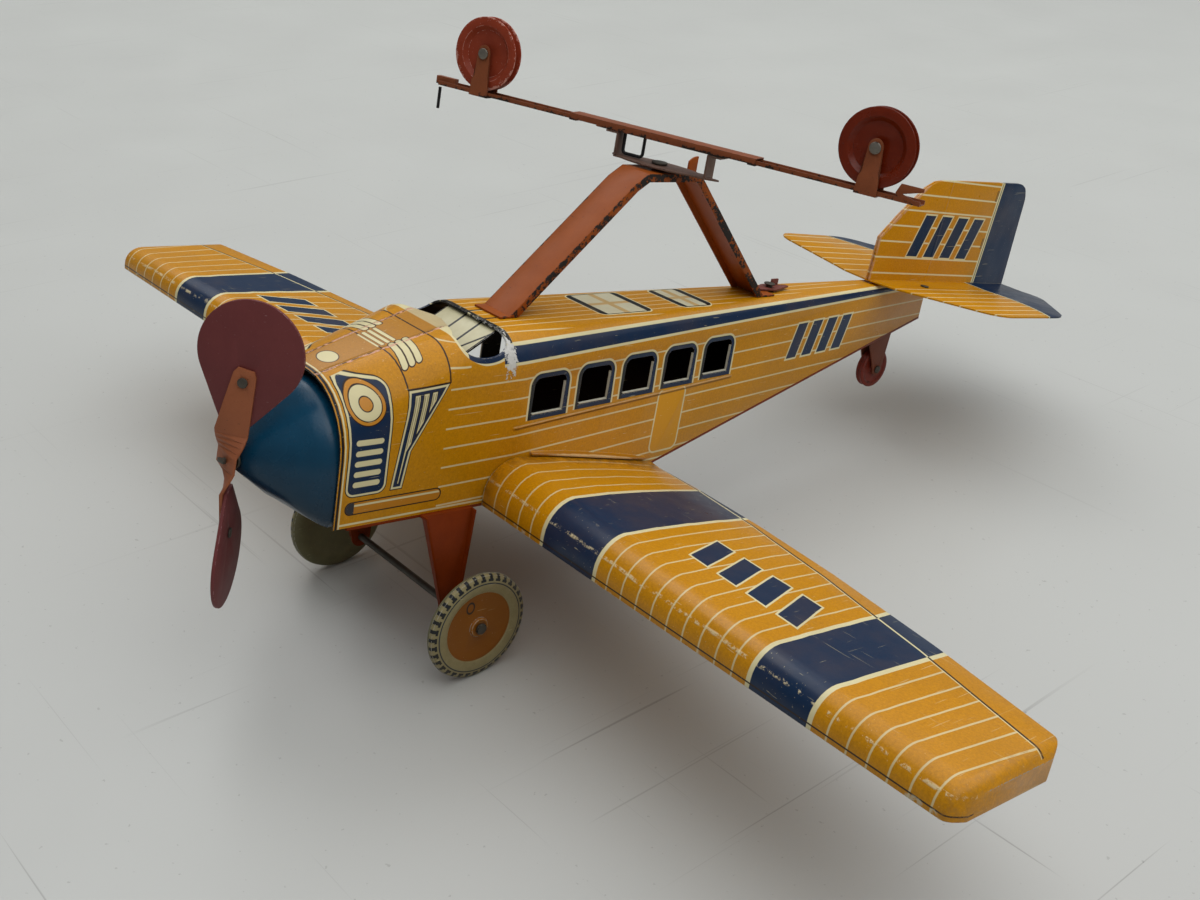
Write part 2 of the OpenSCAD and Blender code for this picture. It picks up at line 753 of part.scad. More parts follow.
module tail_wheel() {
    half = tail_wheel_t / 2;
    r = tail_wheel_r;
    color(pulley_red) stance()
        translate([0, tail_wheel_y, tail_wheel_z])
            rotate([0, 90, 0])
                rotate_extrude()
                    polygon([
                        [tail_pin_r + run_gap, -half], [tail_pin_r + 2, -half], [tail_pin_r + 2.6, -half + 0.7],
                        [r * 0.74, -half + 0.7], [r * 0.8, -half + 0.2], [r * 0.97, -half + 0.2],
                        [r, -half + 0.7], [r * 0.94, -0.5], [r * 0.94, 0.5], [r, half - 0.7],
                        [r * 0.97, half - 0.2], [r * 0.8, half - 0.2], [r * 0.74, half - 0.7],
                        [tail_pin_r + 2.6, half - 0.7], [tail_pin_r + 2, half], [tail_pin_r + run_gap, half]]);
}

// The propeller turns about the thrust axis
module prop_place() {
    translate([0, prop_y, thrust_z])
        rotate([0, prop_lean, 0])
            children();
}

// One blade's own place: swept back, then turned to its pitch
module blade_place() {
    translate([0, -hub_flat * sin(blade_sweep), 0])
        rotate([-blade_sweep, 0, 0])
            rotate([0, 0, blade_pitch])
                children();
}

// Flat blade: a round end with straight sides that run in to the hub
blade_root = 12;
rivet_z = strap_len / 2 - 5;
module blade() {
    r = blade_w / 2;
    centre = prop_r - r;
    root_half = 4;
    a = 90 - acos((r - root_half) / (centre - blade_root));
    blade_place()
        difference() {
            translate([0, strap_t + lap_gap + blade_t, 0])
                rotate([90, 0, 0])
                    linear_extrude(blade_t)
                        union() {
                            translate([0, centre]) circle(r, $fn = 96);
                            polygon([
                                [-root_half, blade_root], [root_half, blade_root],
                                [r * cos(a), centre - r * sin(a)], [-r * cos(a), centre - r * sin(a)]]);
                        }
            translate([0, 0, rivet_z])
                rotate([-90, 0, 0])
                    cylinder(h = 8, r = 1.02, center = true);
        }
}

module propeller_blade_upper() {
    color(brown_fibre) stance() prop_place() blade();
}
module propeller_blade_lower() {
    color(brown_fibre) stance() prop_place() rotate([0, 180, 0]) blade();
}

// A strip across the hub strap at z, turned and swept as the blades are further out
function strap_half(r) = r < strap_w ? strap_w / 2
    : strap_w / 2 * (1 - 0.36 * (r - strap_w) / (strap_len / 2 - strap_w))
        - (r > strap_len / 2 - 2 ? 1 : 0);
function strap_ring(z) =
    let (r = abs(z), side = z < 0 ? -1 : 1,
        share = min(1, max(0, r - hub_flat) / (blade_root - 1 - hub_flat)),
        p = blade_pitch * share, b = blade_sweep * share, half = strap_half(r))
    [for (c = [[-half, 0], [half, 0], [half, strap_t], [-half, strap_t]])
        let (a = side * c[0], q = c[1],
            y = a * sin(p) + q * cos(p))
        [side * (a * cos(p) - q * sin(p)), y * cos(b) + max(0, r - hub_flat) * sin(blade_sweep),
            side * (r * cos(blade_sweep) - y * sin(b))]];

strap_side = [0, hub_flat, 5, 7, 9, blade_root - 1, strap_len * 0.3, strap_len / 2 - 2, strap_len / 2];
strap_steps = concat([for (i = [8:-1:1]) -strap_side[i]], strap_side);
module hub_strap() {
    color(strap_brown) stance() prop_place()
        difference() {
            loft([for (z = strap_steps) strap_ring(z)]);
            rotate([90, 0, 0]) cylinder(h = 8, r = shaft_r + 0.02, center = true);
            for (turn = [0, 180])
                rotate([0, turn, 0])
                    blade_place()
                        translate([0, 0, rivet_z])
                            rotate([-90, 0, 0])
                                cylinder(h = 8, r = 1.02, center = true);
        }
}

module hub_rivets() {
    color(steel) stance() prop_place()
        for (turn = [0, 180])
            rotate([0, turn, 0])
                blade_place()
                    translate([0, -0.1, rivet_z])
                        rotate([-90, 0, 0])
                            rivet(strap_t + blade_t + lap_gap + 0.2, 1, 1.9, 0.7);
}

// Shaft with a flattened front end and a hook behind the cone
hook_r = 4;
hook_y = 12;
module propeller_shaft() {
    color(steel) stance()
        translate([0, 0, thrust_z]) {
            translate([0, prop_y - 1.4, 0]) rotate([-90, 0, 0])
                cylinder(h = hook_y - hook_r - prop_y + 1.4, r = shaft_r);
            translate([0, prop_y - 1.4, 0]) rotate([0, -prop_lean, 0])
                cube([4.2, 1.2, 1.5], center = true);
            translate([0, hook_y, 0]) rotate([0, 90, 0])
                rotate_extrude(angle = 320) translate([hook_r, 0]) circle(shaft_r, $fn = 20);
        }
}

module thrust_bead() {
    color(steel) stance()
        translate([0, bead_front, thrust_z])
            rotate([-90, 0, 0])
                difference() {
                    cylinder(h = bead_len, r = 2.8);
                    translate([0, 0, -1]) cylinder(h = bead_len + 2, r = shaft_r + 0.02);
                }
}

// Rubber skein: a loop in the shaft's hook, the strands, and a loop round the stud
loop_r = 3.2;
strand_r = 0.9;
module rubber_motor() {
    front = hook_y + hook_r - shaft_r - strand_r - 0.1 + loop_r;
    rear = anchor_y - 2.4;
    color(rubber_black) stance()
        translate([0, 0, thrust_z]) {
            translate([0, front, 0]) rotate_extrude() translate([loop_r, 0]) circle(strand_r, $fn = 16);
            for (side = [-1, 1]) {
                translate([side * 1.5, front + 2.9, 0]) rotate([-90, 0, 0])
                    cylinder(h = rear - front - 6, r = strand_r, $fn = 24);
                translate([0, front + 2.9, side * 1.5]) rotate([-90, 0, 0])
                    cylinder(h = rear - front - 6, r = strand_r, $fn = 24);
            }
            translate([0, front + 2.9, 0]) rotate([-90, 0, 0]) cylinder(h = rear - front - 6.4, r = 0.8, $fn = 24);
            translate([0, rear - 3.8, 0]) rotate([-90, 0, 0])
                difference() {
                    cylinder(h = 4, r1 = 2.4, r2 = 4.4);
                    translate([0, 0, 0.8]) cylinder(h = 4, r = 2.8);
                }
            translate([0, rear + 1, 0]) rotate([-90, 0, 0])
                rotate_extrude() translate([2.6, 0]) circle(1.2, $fn = 20);
            translate([0, rear, 0]) rotate([-90, 0, 0])
                difference() {
                    cylinder(h = 1.4, r = 4.2);
                    translate([0, 0, -1]) cylinder(h = 4, r = 2.9);
                }
        }
}

// Path of the mast's strip, seen from the side
mast_foot_y = 82;
mast_rear_y = 237;
mast_front_bend = pivot_y - 15;
mast_rear_bend = pivot_y + 20;
mast_top_z = body_h + mast_h;
roof_z = body_h + seat_gap;
mast_path = [
    [mast_foot_y, roof_z + sheet_t], [mast_foot_y + 5, roof_z + sheet_t],
    [mast_front_bend - 5, mast_top_z - 4.5], [mast_front_bend + 2, mast_top_z],
    [mast_rear_bend - 3, mast_top_z], [mast_rear_bend + 1, mast_top_z - 3.5],
    [mast_rear_y, roof_z + sheet_t], [mast_rear_y + 8, roof_z + sheet_t]];

// The same path moved sideways by d, with mitred corners
function unit(v) = v / norm(v);
function left_of(a, b) = let (d = unit(b - a)) [-d[1], d[0]];
function side_step(p, i, d) =
    let (n = len(p),
        a = left_of(p[max(0, i - 1)], p[max(1, i)]),
        b = left_of(p[min(n - 2, i)], p[min(n - 1, i + 1)]),
        m = unit(a + b))
    p[i] + m * d / (m * a);
function band(p, d0, d1) = concat(
    [for (i = [0:len(p) - 1]) side_step(p, i, d0)],
    [for (i = [len(p) - 1:-1:0]) side_step(p, i, d1)]);

module side_sheet(outline, x0, width) {
    translate([x0, 0, 0])
        rotate([90, 0, 90])
            linear_extrude(width)
                polygon(outline);
}

finger_y = mast_rear_bend;
module mast() {
    leg_path = [for (i = [1:6]) mast_path[i]];
    color(orange_red) stance() {
        difference() {
            union() {
                side_sheet(band(mast_path, -sheet_t, 0), -mast_w / 2, mast_w);
                intersection() {
                    for (x = [-mast_w / 2, mast_w / 2 - sheet_t])
                        side_sheet(band(leg_path, -flange_d, 0), x, sheet_t);
                    translate([-50, 0, roof_z]) cube([100, body_len, mast_h]);
                }
            }
            translate([0, pivot_y, mast_top_z - 3]) cylinder(h = 6, r = pivot_r + run_gap);
            translate([0, latch_y, body_h - 3]) cylinder(h = 6, r = 1.6);
        }
        translate([-sheet_t / 2, finger_y, mast_top_z - 1.5])
            rotate([90, 0, 90])
                linear_extrude(sheet_t)
                    intersection() {
                        translate([-2.6, 0]) square([5.2, 7.2]);
                        translate([2.6, 0]) circle(7.2);
                    }
    }
}

// Turn latch over the mast's rear foot
latch_y = mast_rear_y + 13;
latch_pin_r = 1.5;
module mast_latch() {
    color(fork_brown) stance()
        translate([0, latch_y, roof_z + sheet_t + seat_gap + 0.1])
            difference() {
                union() {
                    linear_extrude(sheet_t)
                        union() {
                            circle(4.6);
                            polygon([[-4.3, 1.6], [4.3, 1.6], [1, 13], [-1, 13]]);
                            polygon([[-4, 0], [4, 0], [2.6, -8], [-2.6, -8]]);
                        }
                    translate([-3, 4, 0]) cube([1, 4.5, 3.6]);
                }
                translate([0, 0, -1]) cylinder(h = 4, r = latch_pin_r + run_gap);
            }
}

module latch_rivet() {
    shank = 2 * sheet_t + 2 * seat_gap + 1.2;
    color(steel) stance()
        translate([0, latch_y, body_h + seat_gap]) {
            cylinder(h = shank, r = latch_pin_r);
            cylinder(h = 0.9, r = latch_pin_r + 1.2);
            translate([0, 0, shank - 0.1]) cylinder(h = 0.8, r = latch_pin_r + 1.1);
        }
}

// The trolley turns on the pivot; along x it follows the bar
module trolley_place() {
    translate([0, pivot_y, 0])
        rotate([0, 0, trolley_yaw])
            children();
}

plate_gap = 1.3;
plate_z = mast_top_z + plate_gap;
bar_z = mast_top_z + bar_rise;
sleeve_t = 0.6;
bracket_left = 19.5;
bracket_right = 22.5;
strap_half = 4.2;

module lens(half_len, half_wide, thick) {
    r = (half_len * half_len + half_wide * half_wide) / (2 * half_wide);
    linear_extrude(thick)
        intersection() {
            translate([0, r - half_wide]) circle(r, $fn = 120);
            translate([0, half_wide - r]) circle(r, $fn = 120);
        }
}

// Lens-shaped plate with both ends bent up to carry the sleeve
module swivel_plate() {
    arm_top = bar_z - sleeve_t - slide_gap - seat_gap;
    color(strap_brown) stance() trolley_place()
        difference() {
            union() {
                translate([0, 0, plate_z]) lens(23, 8.3, sheet_t);
                translate([-bracket_left, -strap_half, plate_z])
                    cube([bracket_left + bracket_right, 2 * strap_half, sheet_t]);
                translate([-bracket_left - sheet_t, -strap_half, plate_z])
                    cube([sheet_t, 2 * strap_half, arm_top - plate_z]);
                translate([bracket_right, -strap_half, plate_z])
                    cube([sheet_t, 2 * strap_half, arm_top - plate_z]);
                translate([-bracket_left - 6, -strap_half, arm_top - sheet_t])
                    cube([6, 2 * strap_half, sheet_t]);
                translate([bracket_right, -strap_half, arm_top - sheet_t])
                    cube([6.5, 2 * strap_half, sheet_t]);
                translate([bracket_right, 0, plate_z])
                    linear_extrude(sheet_t)
                        polygon([[0, -strap_half], [0, 1], [6, -0.6], [3, -2.6]]);
            }
            translate([0, 0, plate_z - 1]) cylinder(h = 4, r = pivot_r + run_gap);
        }
}

module pivot_rivet() {
    shank = sheet_t + plate_gap + sheet_t + 0.4;
    color(steel) stance()
        translate([0, pivot_y, mast_top_z - sheet_t - 0.1]) {
            translate([0, 0, -1]) cylinder(h = 1, r = pivot_r + 1.6);
            cylinder(h = shank, r = pivot_r);
            translate([0, 0, sheet_t + 0.2]) cylinder(h = plate_gap - 0.3, r = pivot_r + 1.6);
            translate([0, 0, shank - 0.1]) cylinder(h = 1, r = pivot_r + 1.8);
        }
}

// Folded sleeve round the bar, slit below between its clips
module trolley_sleeve() {
    w = bar_w / 2 + slide_gap;
    out = w + sleeve_t;
    color(strap_brown) stance() trolley_place()
        difference() {
            translate([-sleeve_half, -out, bar_z - slide_gap - sleeve_t])
                cube([2 * sleeve_half, 2 * out, bar_h + 2 * slide_gap + 2 * sleeve_t]);
            translate([-sleeve_half - 1, -w, bar_z - slide_gap])
                cube([2 * sleeve_half + 2, 2 * w, bar_h + 2 * slide_gap]);
            for (side = [-1, 1])
                translate([side * (sleeve_half + 24) / 2 + side * 1.5, 0, bar_z - 1])
                    cube([sleeve_half - 34, 2 * out + 1, 2.4], center = true);
        }
}

// Bent wire that hangs beside the left bracket, in a round-cornered U
wire_r = 0.7;
wire_bend = 1.6;
module catch_wire() {
    top = bar_z - slide_gap - sleeve_t - seat_gap;
    low = plate_z + sheet_t + 0.2 + wire_r;
    wide = 9.5;
    color("#222222") stance() trolley_place()
        translate([-bracket_left + 2 * wire_r, 0, low])
            rotate([90, 0, 0]) {
                for (x = [0, wide])
                    translate([x, wire_bend, 0]) rotate([-90, 0, 0])
                        cylinder(h = top - low - wire_bend, r = wire_r);
                translate([wire_bend, 0, 0]) rotate([0, 90, 0])
                    cylinder(h = wide - 2 * wire_bend, r = wire_r);
                translate([wire_bend, wire_bend, 0]) rotate([0, 0, 180])
                    rotate_extrude(angle = 90) translate([wire_bend, 0]) circle(wire_r);
                translate([wide - wire_bend, wire_bend, 0]) rotate([0, 0, 270])
                    rotate_extrude(angle = 90) translate([wire_bend, 0]) circle(wire_r);
            }
}

// Channel bar that slides in the sleeve
bar_t = 0.7;
module trolley_bar() {
    color(strap_brown) stance() trolley_place() {
        difference() {
            translate([-bar_half, -bar_w / 2, bar_z]) cube([2 * bar_half, bar_w, bar_h]);
            translate([-bar_half - 1, -bar_w / 2 + bar_t, bar_z + bar_t])
                cube([2 * bar_half + 2, bar_w - 2 * bar_t, bar_h]);
        }
        translate([-bar_half - 2.5, -1.5, bar_z + 0.5]) cube([10, 3, bar_h + 2.5]);
        translate([0, -bar_w / 2 + bar_t, 0])
            rotate([90, 0, 0])
                linear_extrude(bar_t)
                    polygon([
                        [bar_half - 12, bar_z], [bar_half - 1, bar_z], [bar_half - 3, bar_z + 5],
                        [bar_half + 1, bar_z + 8.4], [bar_half + 1, bar_z + 9.4], [bar_half - 7, bar_z + 9.4],
                        [bar_half - 8, bar_z + 5]]);
    }
}

module trip_wire() {
    color("#222222") stance() trolley_place()
        translate([-bar_half - 1, 0, bar_z - 9])
            cylinder(h = 9.4, r = wire_r, $fn = 24);
}

// Fork: two joggled arms from the bar's sides to the pulley's pin
axle_z = bar_z + bar_h + pulley_r + 0.3;
pulley_pin_r = 1.3;
arm_low = bar_w / 2 + seat_gap;
arm_high = pulley_half_t + 0.4;
module fork_arm() {
    t = sheet_t;
    joggle = axle_z - pulley_r * 0.62;
    top = axle_z + 4;
    intersection() {
        rotate([90, 0, 90])
            linear_extrude(fork_w + 4, center = true)
                polygon([
                    [arm_low, bar_z - 0.6], [arm_low + t, bar_z - 0.6], [arm_low + t, joggle - 2],
                    [arm_high + t, joggle], [arm_high + t, top], [arm_high, top],
                    [arm_high, joggle], [arm_low, joggle - 2]]);
        rotate([90, 0, 0])
            linear_extrude(30, center = true)
                difference() {
                    union() {
                        polygon([
                            [-fork_w / 2, bar_z - 1], [fork_w / 2, bar_z - 1], [3.7, axle_z], [-3.7, axle_z]]);
                        translate([0, axle_z]) circle(3.7);
                    }
                    translate([0, axle_z]) circle(pulley_pin_r + 0.02);
                }
    }
}

module pulley_fork() {
    fork_arm();
    mirror([0, 1, 0]) fork_arm();
    translate([-fork_w / 2, -arm_low - sheet_t, bar_z - seat_gap - sheet_t])
        cube([fork_w, 2 * (arm_low + sheet_t), sheet_t]);
    for (side = [-1, 1])
        translate([-fork_w / 2, side * (arm_low + sheet_t / 2) - sheet_t / 2, bar_z - seat_gap - sheet_t])
            cube([fork_w, sheet_t, 1.5]);
}

module fork_left() {
    color(strap_brown) stance() trolley_place() translate([pulley_s, 0, 0]) pulley_fork();
}
module fork_right() {
    color(strap_brown) stance() trolley_place() translate([-pulley_s, 0, 0]) pulley_fork();
}

// Dished pulley disc; two of them back to back make the groove
module pulley_disc() {
    t = sheet_t * 0.8;
    r = pulley_r;
    rotate_extrude()
        polygon([
            [pulley_pin_r + run_gap, 0.03], [r * 0.66, 0.03], [r * 0.78, pulley_half_t - t],
            [r * 0.98, pulley_half_t - t], [r, pulley_half_t - t * 0.5], [r * 0.99, pulley_half_t],
            [r * 0.76, pulley_half_t], [r * 0.64, 0.03 + t], [pulley_pin_r + run_gap, 0.03 + t]]);
}

module pulley_place(s) {
    trolley_place()
        translate([s, 0, axle_z])
            rotate([90, 0, 0])
                children();
}
module pulley_left_front() {
    color(pulley_red) stance() pulley_place(pulley_s) pulley_disc();
}
module pulley_left_back() {
    color(pulley_red) stance() pulley_place(pulley_s) mirror([0, 0, 1]) pulley_disc();
}
module pulley_right_front() {
    color(pulley_red) stance() pulley_place(-pulley_s) pulley_disc();
}
module pulley_right_back() {
    color(pulley_red) stance() pulley_place(-pulley_s) mirror([0, 0, 1]) pulley_disc();
}

module pulley_rivets() {
    half = arm_high + sheet_t + 0.05;
    color(steel) stance()
        for (s = [-pulley_s, pulley_s])
            pulley_place(s)
                translate([0, 0, -half])
                    rivet(2 * half, pulley_pin_r, pulley_pin_r + 1.1, 0.8);
}

fuselage_shell();
belly_pan();
windscreen_panel();
nose_cone();
nose_bearing();
wing_left_upper();
wing_left_lower();
wing_right_upper();
wing_right_lower();
tail_left();
tail_right();
tail_rivets();
rubber_anchor();
main_axle();
wheel_left_outer();
wheel_left_inner();
wheel_right_outer();
wheel_right_inner();
tail_wheel_fork();
tail_wheel_rivet();
tail_wheel();
propeller_blade_upper();
propeller_blade_lower();
hub_strap();
hub_rivets();
propeller_shaft();
thrust_bead();
rubber_motor();
mast();
mast_latch();
latch_rivet();
swivel_plate();
pivot_rivet();
trolley_sleeve();
catch_wire();
trolley_bar();
fork_left();
fork_right();
trip_wire();
pulley_left_front();
pulley_left_back();
pulley_right_front();
pulley_right_back();
pulley_rivets();
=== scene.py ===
import json
import math

import bmesh
import bpy
from mathutils import Matrix, Vector


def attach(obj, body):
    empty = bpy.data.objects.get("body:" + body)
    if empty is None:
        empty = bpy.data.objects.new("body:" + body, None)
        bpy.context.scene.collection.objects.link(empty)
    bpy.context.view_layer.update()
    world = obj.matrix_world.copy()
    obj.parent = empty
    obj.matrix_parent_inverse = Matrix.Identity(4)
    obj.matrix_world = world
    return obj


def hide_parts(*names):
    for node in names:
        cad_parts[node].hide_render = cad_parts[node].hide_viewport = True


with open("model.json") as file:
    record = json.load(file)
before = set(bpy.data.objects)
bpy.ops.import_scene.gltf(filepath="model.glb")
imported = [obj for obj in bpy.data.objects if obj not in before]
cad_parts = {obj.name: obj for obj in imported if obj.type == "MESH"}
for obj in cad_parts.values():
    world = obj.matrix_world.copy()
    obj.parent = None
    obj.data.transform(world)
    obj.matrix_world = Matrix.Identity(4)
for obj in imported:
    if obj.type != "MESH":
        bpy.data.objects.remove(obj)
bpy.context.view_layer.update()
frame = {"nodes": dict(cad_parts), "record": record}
scene = bpy.context.scene
scene.view_settings.view_transform = "Standard"

# The eye: a camera held to the left of the nose, looking down over the cone and
# the port wing, and turned a little on its own axis.
photo_width = 1200
focal_pixels = 1435.6
eye_place = (0.42915, -0.43387, 0.34558)
eye_aim = Vector((-0.66287334, 0.58673584, -0.46512362))
eye_right = Vector((0.6485254, 0.76039005, 0.03495393))
eye_up = Vector((-0.3741841, 0.27847446, 0.88455539))
eye = bpy.data.objects.new("eye", bpy.data.cameras.new("eye"))
scene.collection.objects.link(eye)
eye.data.sensor_width = 36
eye.data.lens = eye.data.sensor_width * focal_pixels / photo_width
eye.data.clip_start = 0.01
eye.matrix_world = (Matrix.Translation(eye_place)
                    @ Matrix((eye_right, eye_up, -eye_aim)).transposed().to_4x4())
scene.camera = eye


# The board it stands on: pale grey laminate, a little glossy, with painted light
# making it paler towards the back, and hairline scratches near its front edge.
class Wire:
    """A socket in a material's nodes. Arithmetic on it adds Math nodes."""

    def __init__(self, socket):
        self.socket = socket
        self.tree = socket.id_data

    def node(self, kind, settings, inputs, out=0):
        """A new node: its settings, then the values or links of its sockets."""
        made = self.tree.nodes.new("ShaderNode" + kind)
        for name, value in settings.items():
            setattr(made, name, value)
        for name, value in inputs.items():
            if isinstance(value, Wire):
                self.tree.links.new(value.socket, made.inputs[name])
            else:
                made.inputs[name].default_value = value
        return Wire(made.outputs[out])

    def maths(self, operation, *values, clamp=False):
        settings = {"operation": operation, "use_clamp": clamp}
        return self.node("Math", settings, dict(enumerate(values)))

    def __add__(self, other):
        return self.maths("ADD", self, other)

    __radd__ = __add__

    def __sub__(self, other):
        return self.maths("SUBTRACT", self, other)

    def __rsub__(self, other):
        return self.maths("SUBTRACT", other, self)

    def __mul__(self, other):
        return self.maths("MULTIPLY", self, other)

    __rmul__ = __mul__

    def __truediv__(self, other):
        return self.maths("DIVIDE", self, other)

    def __pow__(self, other):
        return self.maths("POWER", self, other)

    def __abs__(self):
        return self.maths("ABSOLUTE", self)

    def least(self, other):
        return self.maths("MINIMUM", self, other)

    def most(self, other):
        return self.maths("MAXIMUM", self, other)

    def clamp(self):
        return self.maths("ADD", self, 0, clamp=True)

    def whole(self):
        return self.maths("FLOOR", self)

    def off(self, step, first):
        """Distance to the nearest of a row of places first, first + step, ..."""
        return self.maths("PINGPONG", self - first, step / 2)

    def grain(self, scale, detail=2, rough=0.5):
        return self.node("TexNoise", {}, {"Vector": self, "Scale": scale, "Detail": detail,
                                          "Roughness": rough})

    def parts(self):
        split = self.node("SeparateXYZ", {}, {"Vector": self})
        return [Wire(s) for s in split.socket.node.outputs]

    def moved(self, shift=(0, 0, 0), turn=(0, 0, 0), size=(1, 1, 1)):
        return self.node("Mapping", {}, {"Vector": self, "Location": shift, "Rotation": turn,
                                         "Scale": size})

    def blend(self, first, second):
        """Colour between two others, with this wire as the share of the second."""
        return self.node("Mix", {"data_type": "RGBA"}, {0: self, 6: first, 7: second}, 2)

    def coat(self, mask, colour):
        """This colour with another laid over it where mask is 1."""
        return mask.blend(self, colour)


def hue(code):
    """Linear colour of an #rrggbb code."""
    parts = [int(code[i:i + 2], 16) / 255 for i in (1, 3, 5)]
    return tuple(c / 12.92 if c < 0.04045 else ((c + 0.055) / 1.055) ** 2.4 for c in parts) + (1,)


def new_finish(name):
    """A material, its shader, and a wire of the object's own coordinates."""
    finish = bpy.data.materials.new(name)
    finish.use_nodes = True
    tree = finish.node_tree
    place = tree.nodes.new("ShaderNodeTexCoord")
    return finish, tree.nodes["Principled BSDF"], Wire(place.outputs["Object"])


def feed(shader, **sockets):
    """Links or sets a shader's sockets by their names, with _ for a space."""
    for name, value in sockets.items():
        socket = shader.inputs[name.replace("_", " ")]
        if isinstance(value, Wire):
            value.tree.links.new(value.socket, socket)
        else:
            socket.default_value = value


def band(value, centre, half, soft=0.15):
    """1 within half of centre, 0 beyond it, over a soft edge."""
    return ((half - abs(value - centre)) * (1 / soft) + 0.5).clamp()


def over(value, edge, soft=0.15):
    """1 above edge, 0 below it."""
    return ((value - edge) * (1 / soft) + 0.5).clamp()


def under(value, edge, soft=0.15):
    """1 below edge, 0 above it."""
    return ((edge - value) * (1 / soft) + 0.5).clamp()


def raised(shader, height, distance=0.001):
    """Feeds a height in millimetres to the shader as a bump."""
    bump = height.node("Bump", {}, {"Height": height, "Distance": distance, "Strength": 1.0})
    feed(shader, Normal=bump)


board_radius = 6
board_finish, board_shader, at = new_finish("board_laminate")
x, y, _ = at.parts()
away = x * -0.663 + y * 0.587
# Paler away from the eye, towards the back: painted light.
tone = ((away + 0.45) * 0.62).clamp().blend(hue("#b6b7b4"), hue("#d2d4d0"))
tone = tone.coat((at.grain(5, 4, 0.6) - 0.42).clamp() * 0.5, hue("#b9b8b5"))
along_scuff = at.moved(turn=(0, 0, 0.5), size=(260, 3.2, 1)).grain(1, 2, 0.6)
cross_scuff = at.moved(turn=(0, 0, -0.9), size=(3.6, 300, 1)).grain(1, 2, 0.6)
scuff = over(along_scuff, 0.69, 0.04) * over(at.grain(4, 2), 0.5, 0.1)
scuff = scuff.most(over(cross_scuff, 0.7, 0.04) * over(at.grain(3, 2), 0.48, 0.1))
speckle = over(at.grain(330, 2, 0.6), 0.715, 0.02)
near_eye = under(away, -0.12, 0.3)
tone = tone.coat(scuff * (0.15 + 0.4 * near_eye) + speckle * 0.3, hue("#6f6c6a"))
feed(board_shader, Base_Color=tone, Roughness=0.3 + 0.25 * at.grain(9, 3, 0.6),
     Specular_IOR_Level=0.45)
seen = at.node("LightPath", {}, {}, "Is Camera Ray")
far_off = over((x * x + y * y) ** 0.5, 1.7, 1.6)
glow = at.node("Emission", {}, {"Color": hue("#c4c6c3"), "Strength": 1.0})
mixed = at.node("MixShader", {}, {0: far_off * seen, 1: Wire(board_shader.outputs[0]), 2: glow})
board_out = board_finish.node_tree.nodes["Material Output"]
board_finish.node_tree.links.new(mixed.socket, board_out.inputs["Surface"])
board = bmesh.new()
bmesh.ops.create_circle(board, cap_ends=True, segments=96, radius=board_radius)
board_mesh = bpy.data.meshes.new("board")
board.to_mesh(board_mesh)
board.free()
board_mesh.materials.append(board_finish)
board_object = bpy.data.objects.new("board", board_mesh)
scene.collection.objects.link(board_object)


# Light: a broad soft window over and behind the plane, a smaller lamp high on
# its starboard side, a weak one by the eye, and a plain pale room.
def soft_light(name, place, width, power):
    """A square lamp that looks at the middle of the plane."""
    lamp = bpy.data.lights.new(name, "AREA")
    lamp.size = width
    lamp.energy = power
    hung = bpy.data.objects.new(name, lamp)
    aim = Vector((0, 0, 0.05)) - Vector(place)
    hung.matrix_world = Matrix.Translation(place) @ aim.to_track_quat("-Z", "Y").to_matrix().to_4x4()
    scene.collection.objects.link(hung)


soft_light("window_light", (0.25, 0.42, 1.7), 3.6, 53)
soft_light("starboard_light", (-1.6, 0.15, 1.7), 1.3, 9)
soft_light("eye_light", (1.5, -0.6, 1.8), 1.4, 4)
scene.world = bpy.data.worlds.new("room")
scene.world.use_nodes = True
feed(scene.world.node_tree.nodes["Background"], Color=hue("#dfe3e2"), Strength=0.225)


# The body: one sheet of lithographed tin, folded over the roof and round the
# cowl. Ochre print with cream pinstripes, navy shoulders and louvred cowl panels.

# The body's own millimetres: y runs aft from the cowl's front edge, z up from the
# foot of its walls. As the plane stands on its wheels, they lean back.
lean = 0.16872284929850834
start_y, start_z = -0.2092027572, 0.0728815852
stance = (Matrix.Translation((0, start_y, start_z)) @ Matrix.Rotation(-lean, 4, "X")
          @ Matrix.Scale(0.001, 4))
half_w, middle_z, taper_from, taper = 30.35, 34, 80, 0.09406
cowl_len, brow_y = 45, 27.8
window_y, window_z, window_step, window_rise = 95.9, 42.3, 26.6, 0.75


def body_mm(at):
    """The object's coordinates as the body's own millimetres, and their three parts."""
    shift = Matrix.Rotation(lean, 3, "X") @ Vector((0, -1000 * start_y, -1000 * start_z))
    turned = at.moved(shift, (lean, 0, 0), (1000, 1000, 1000))
    return turned, turned.parts()


def keep_piece(shape, name, body, finish, nodes=()):
    """Makes a bmesh in body millimetres a piece that rides on a body."""
    shape.transform(stance)
    mesh = bpy.data.meshes.new(name)
    shape.to_mesh(mesh)
    shape.free()
    mesh.materials.append(finish)
    mesh.polygons.foreach_set("use_smooth", [True] * len(mesh.polygons))
    mesh.set_sharp_from_angle(angle=math.radians(40))
    made = bpy.data.objects.new(name, mesh)
    scene.collection.objects.link(made)
    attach(made, body)
    if nodes:
        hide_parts(*nodes)


def body_of(node):
    bodies = frame["record"]["behaviour"]["bodies"]
    return next(body for body, nodes in bodies.items() if node in nodes)


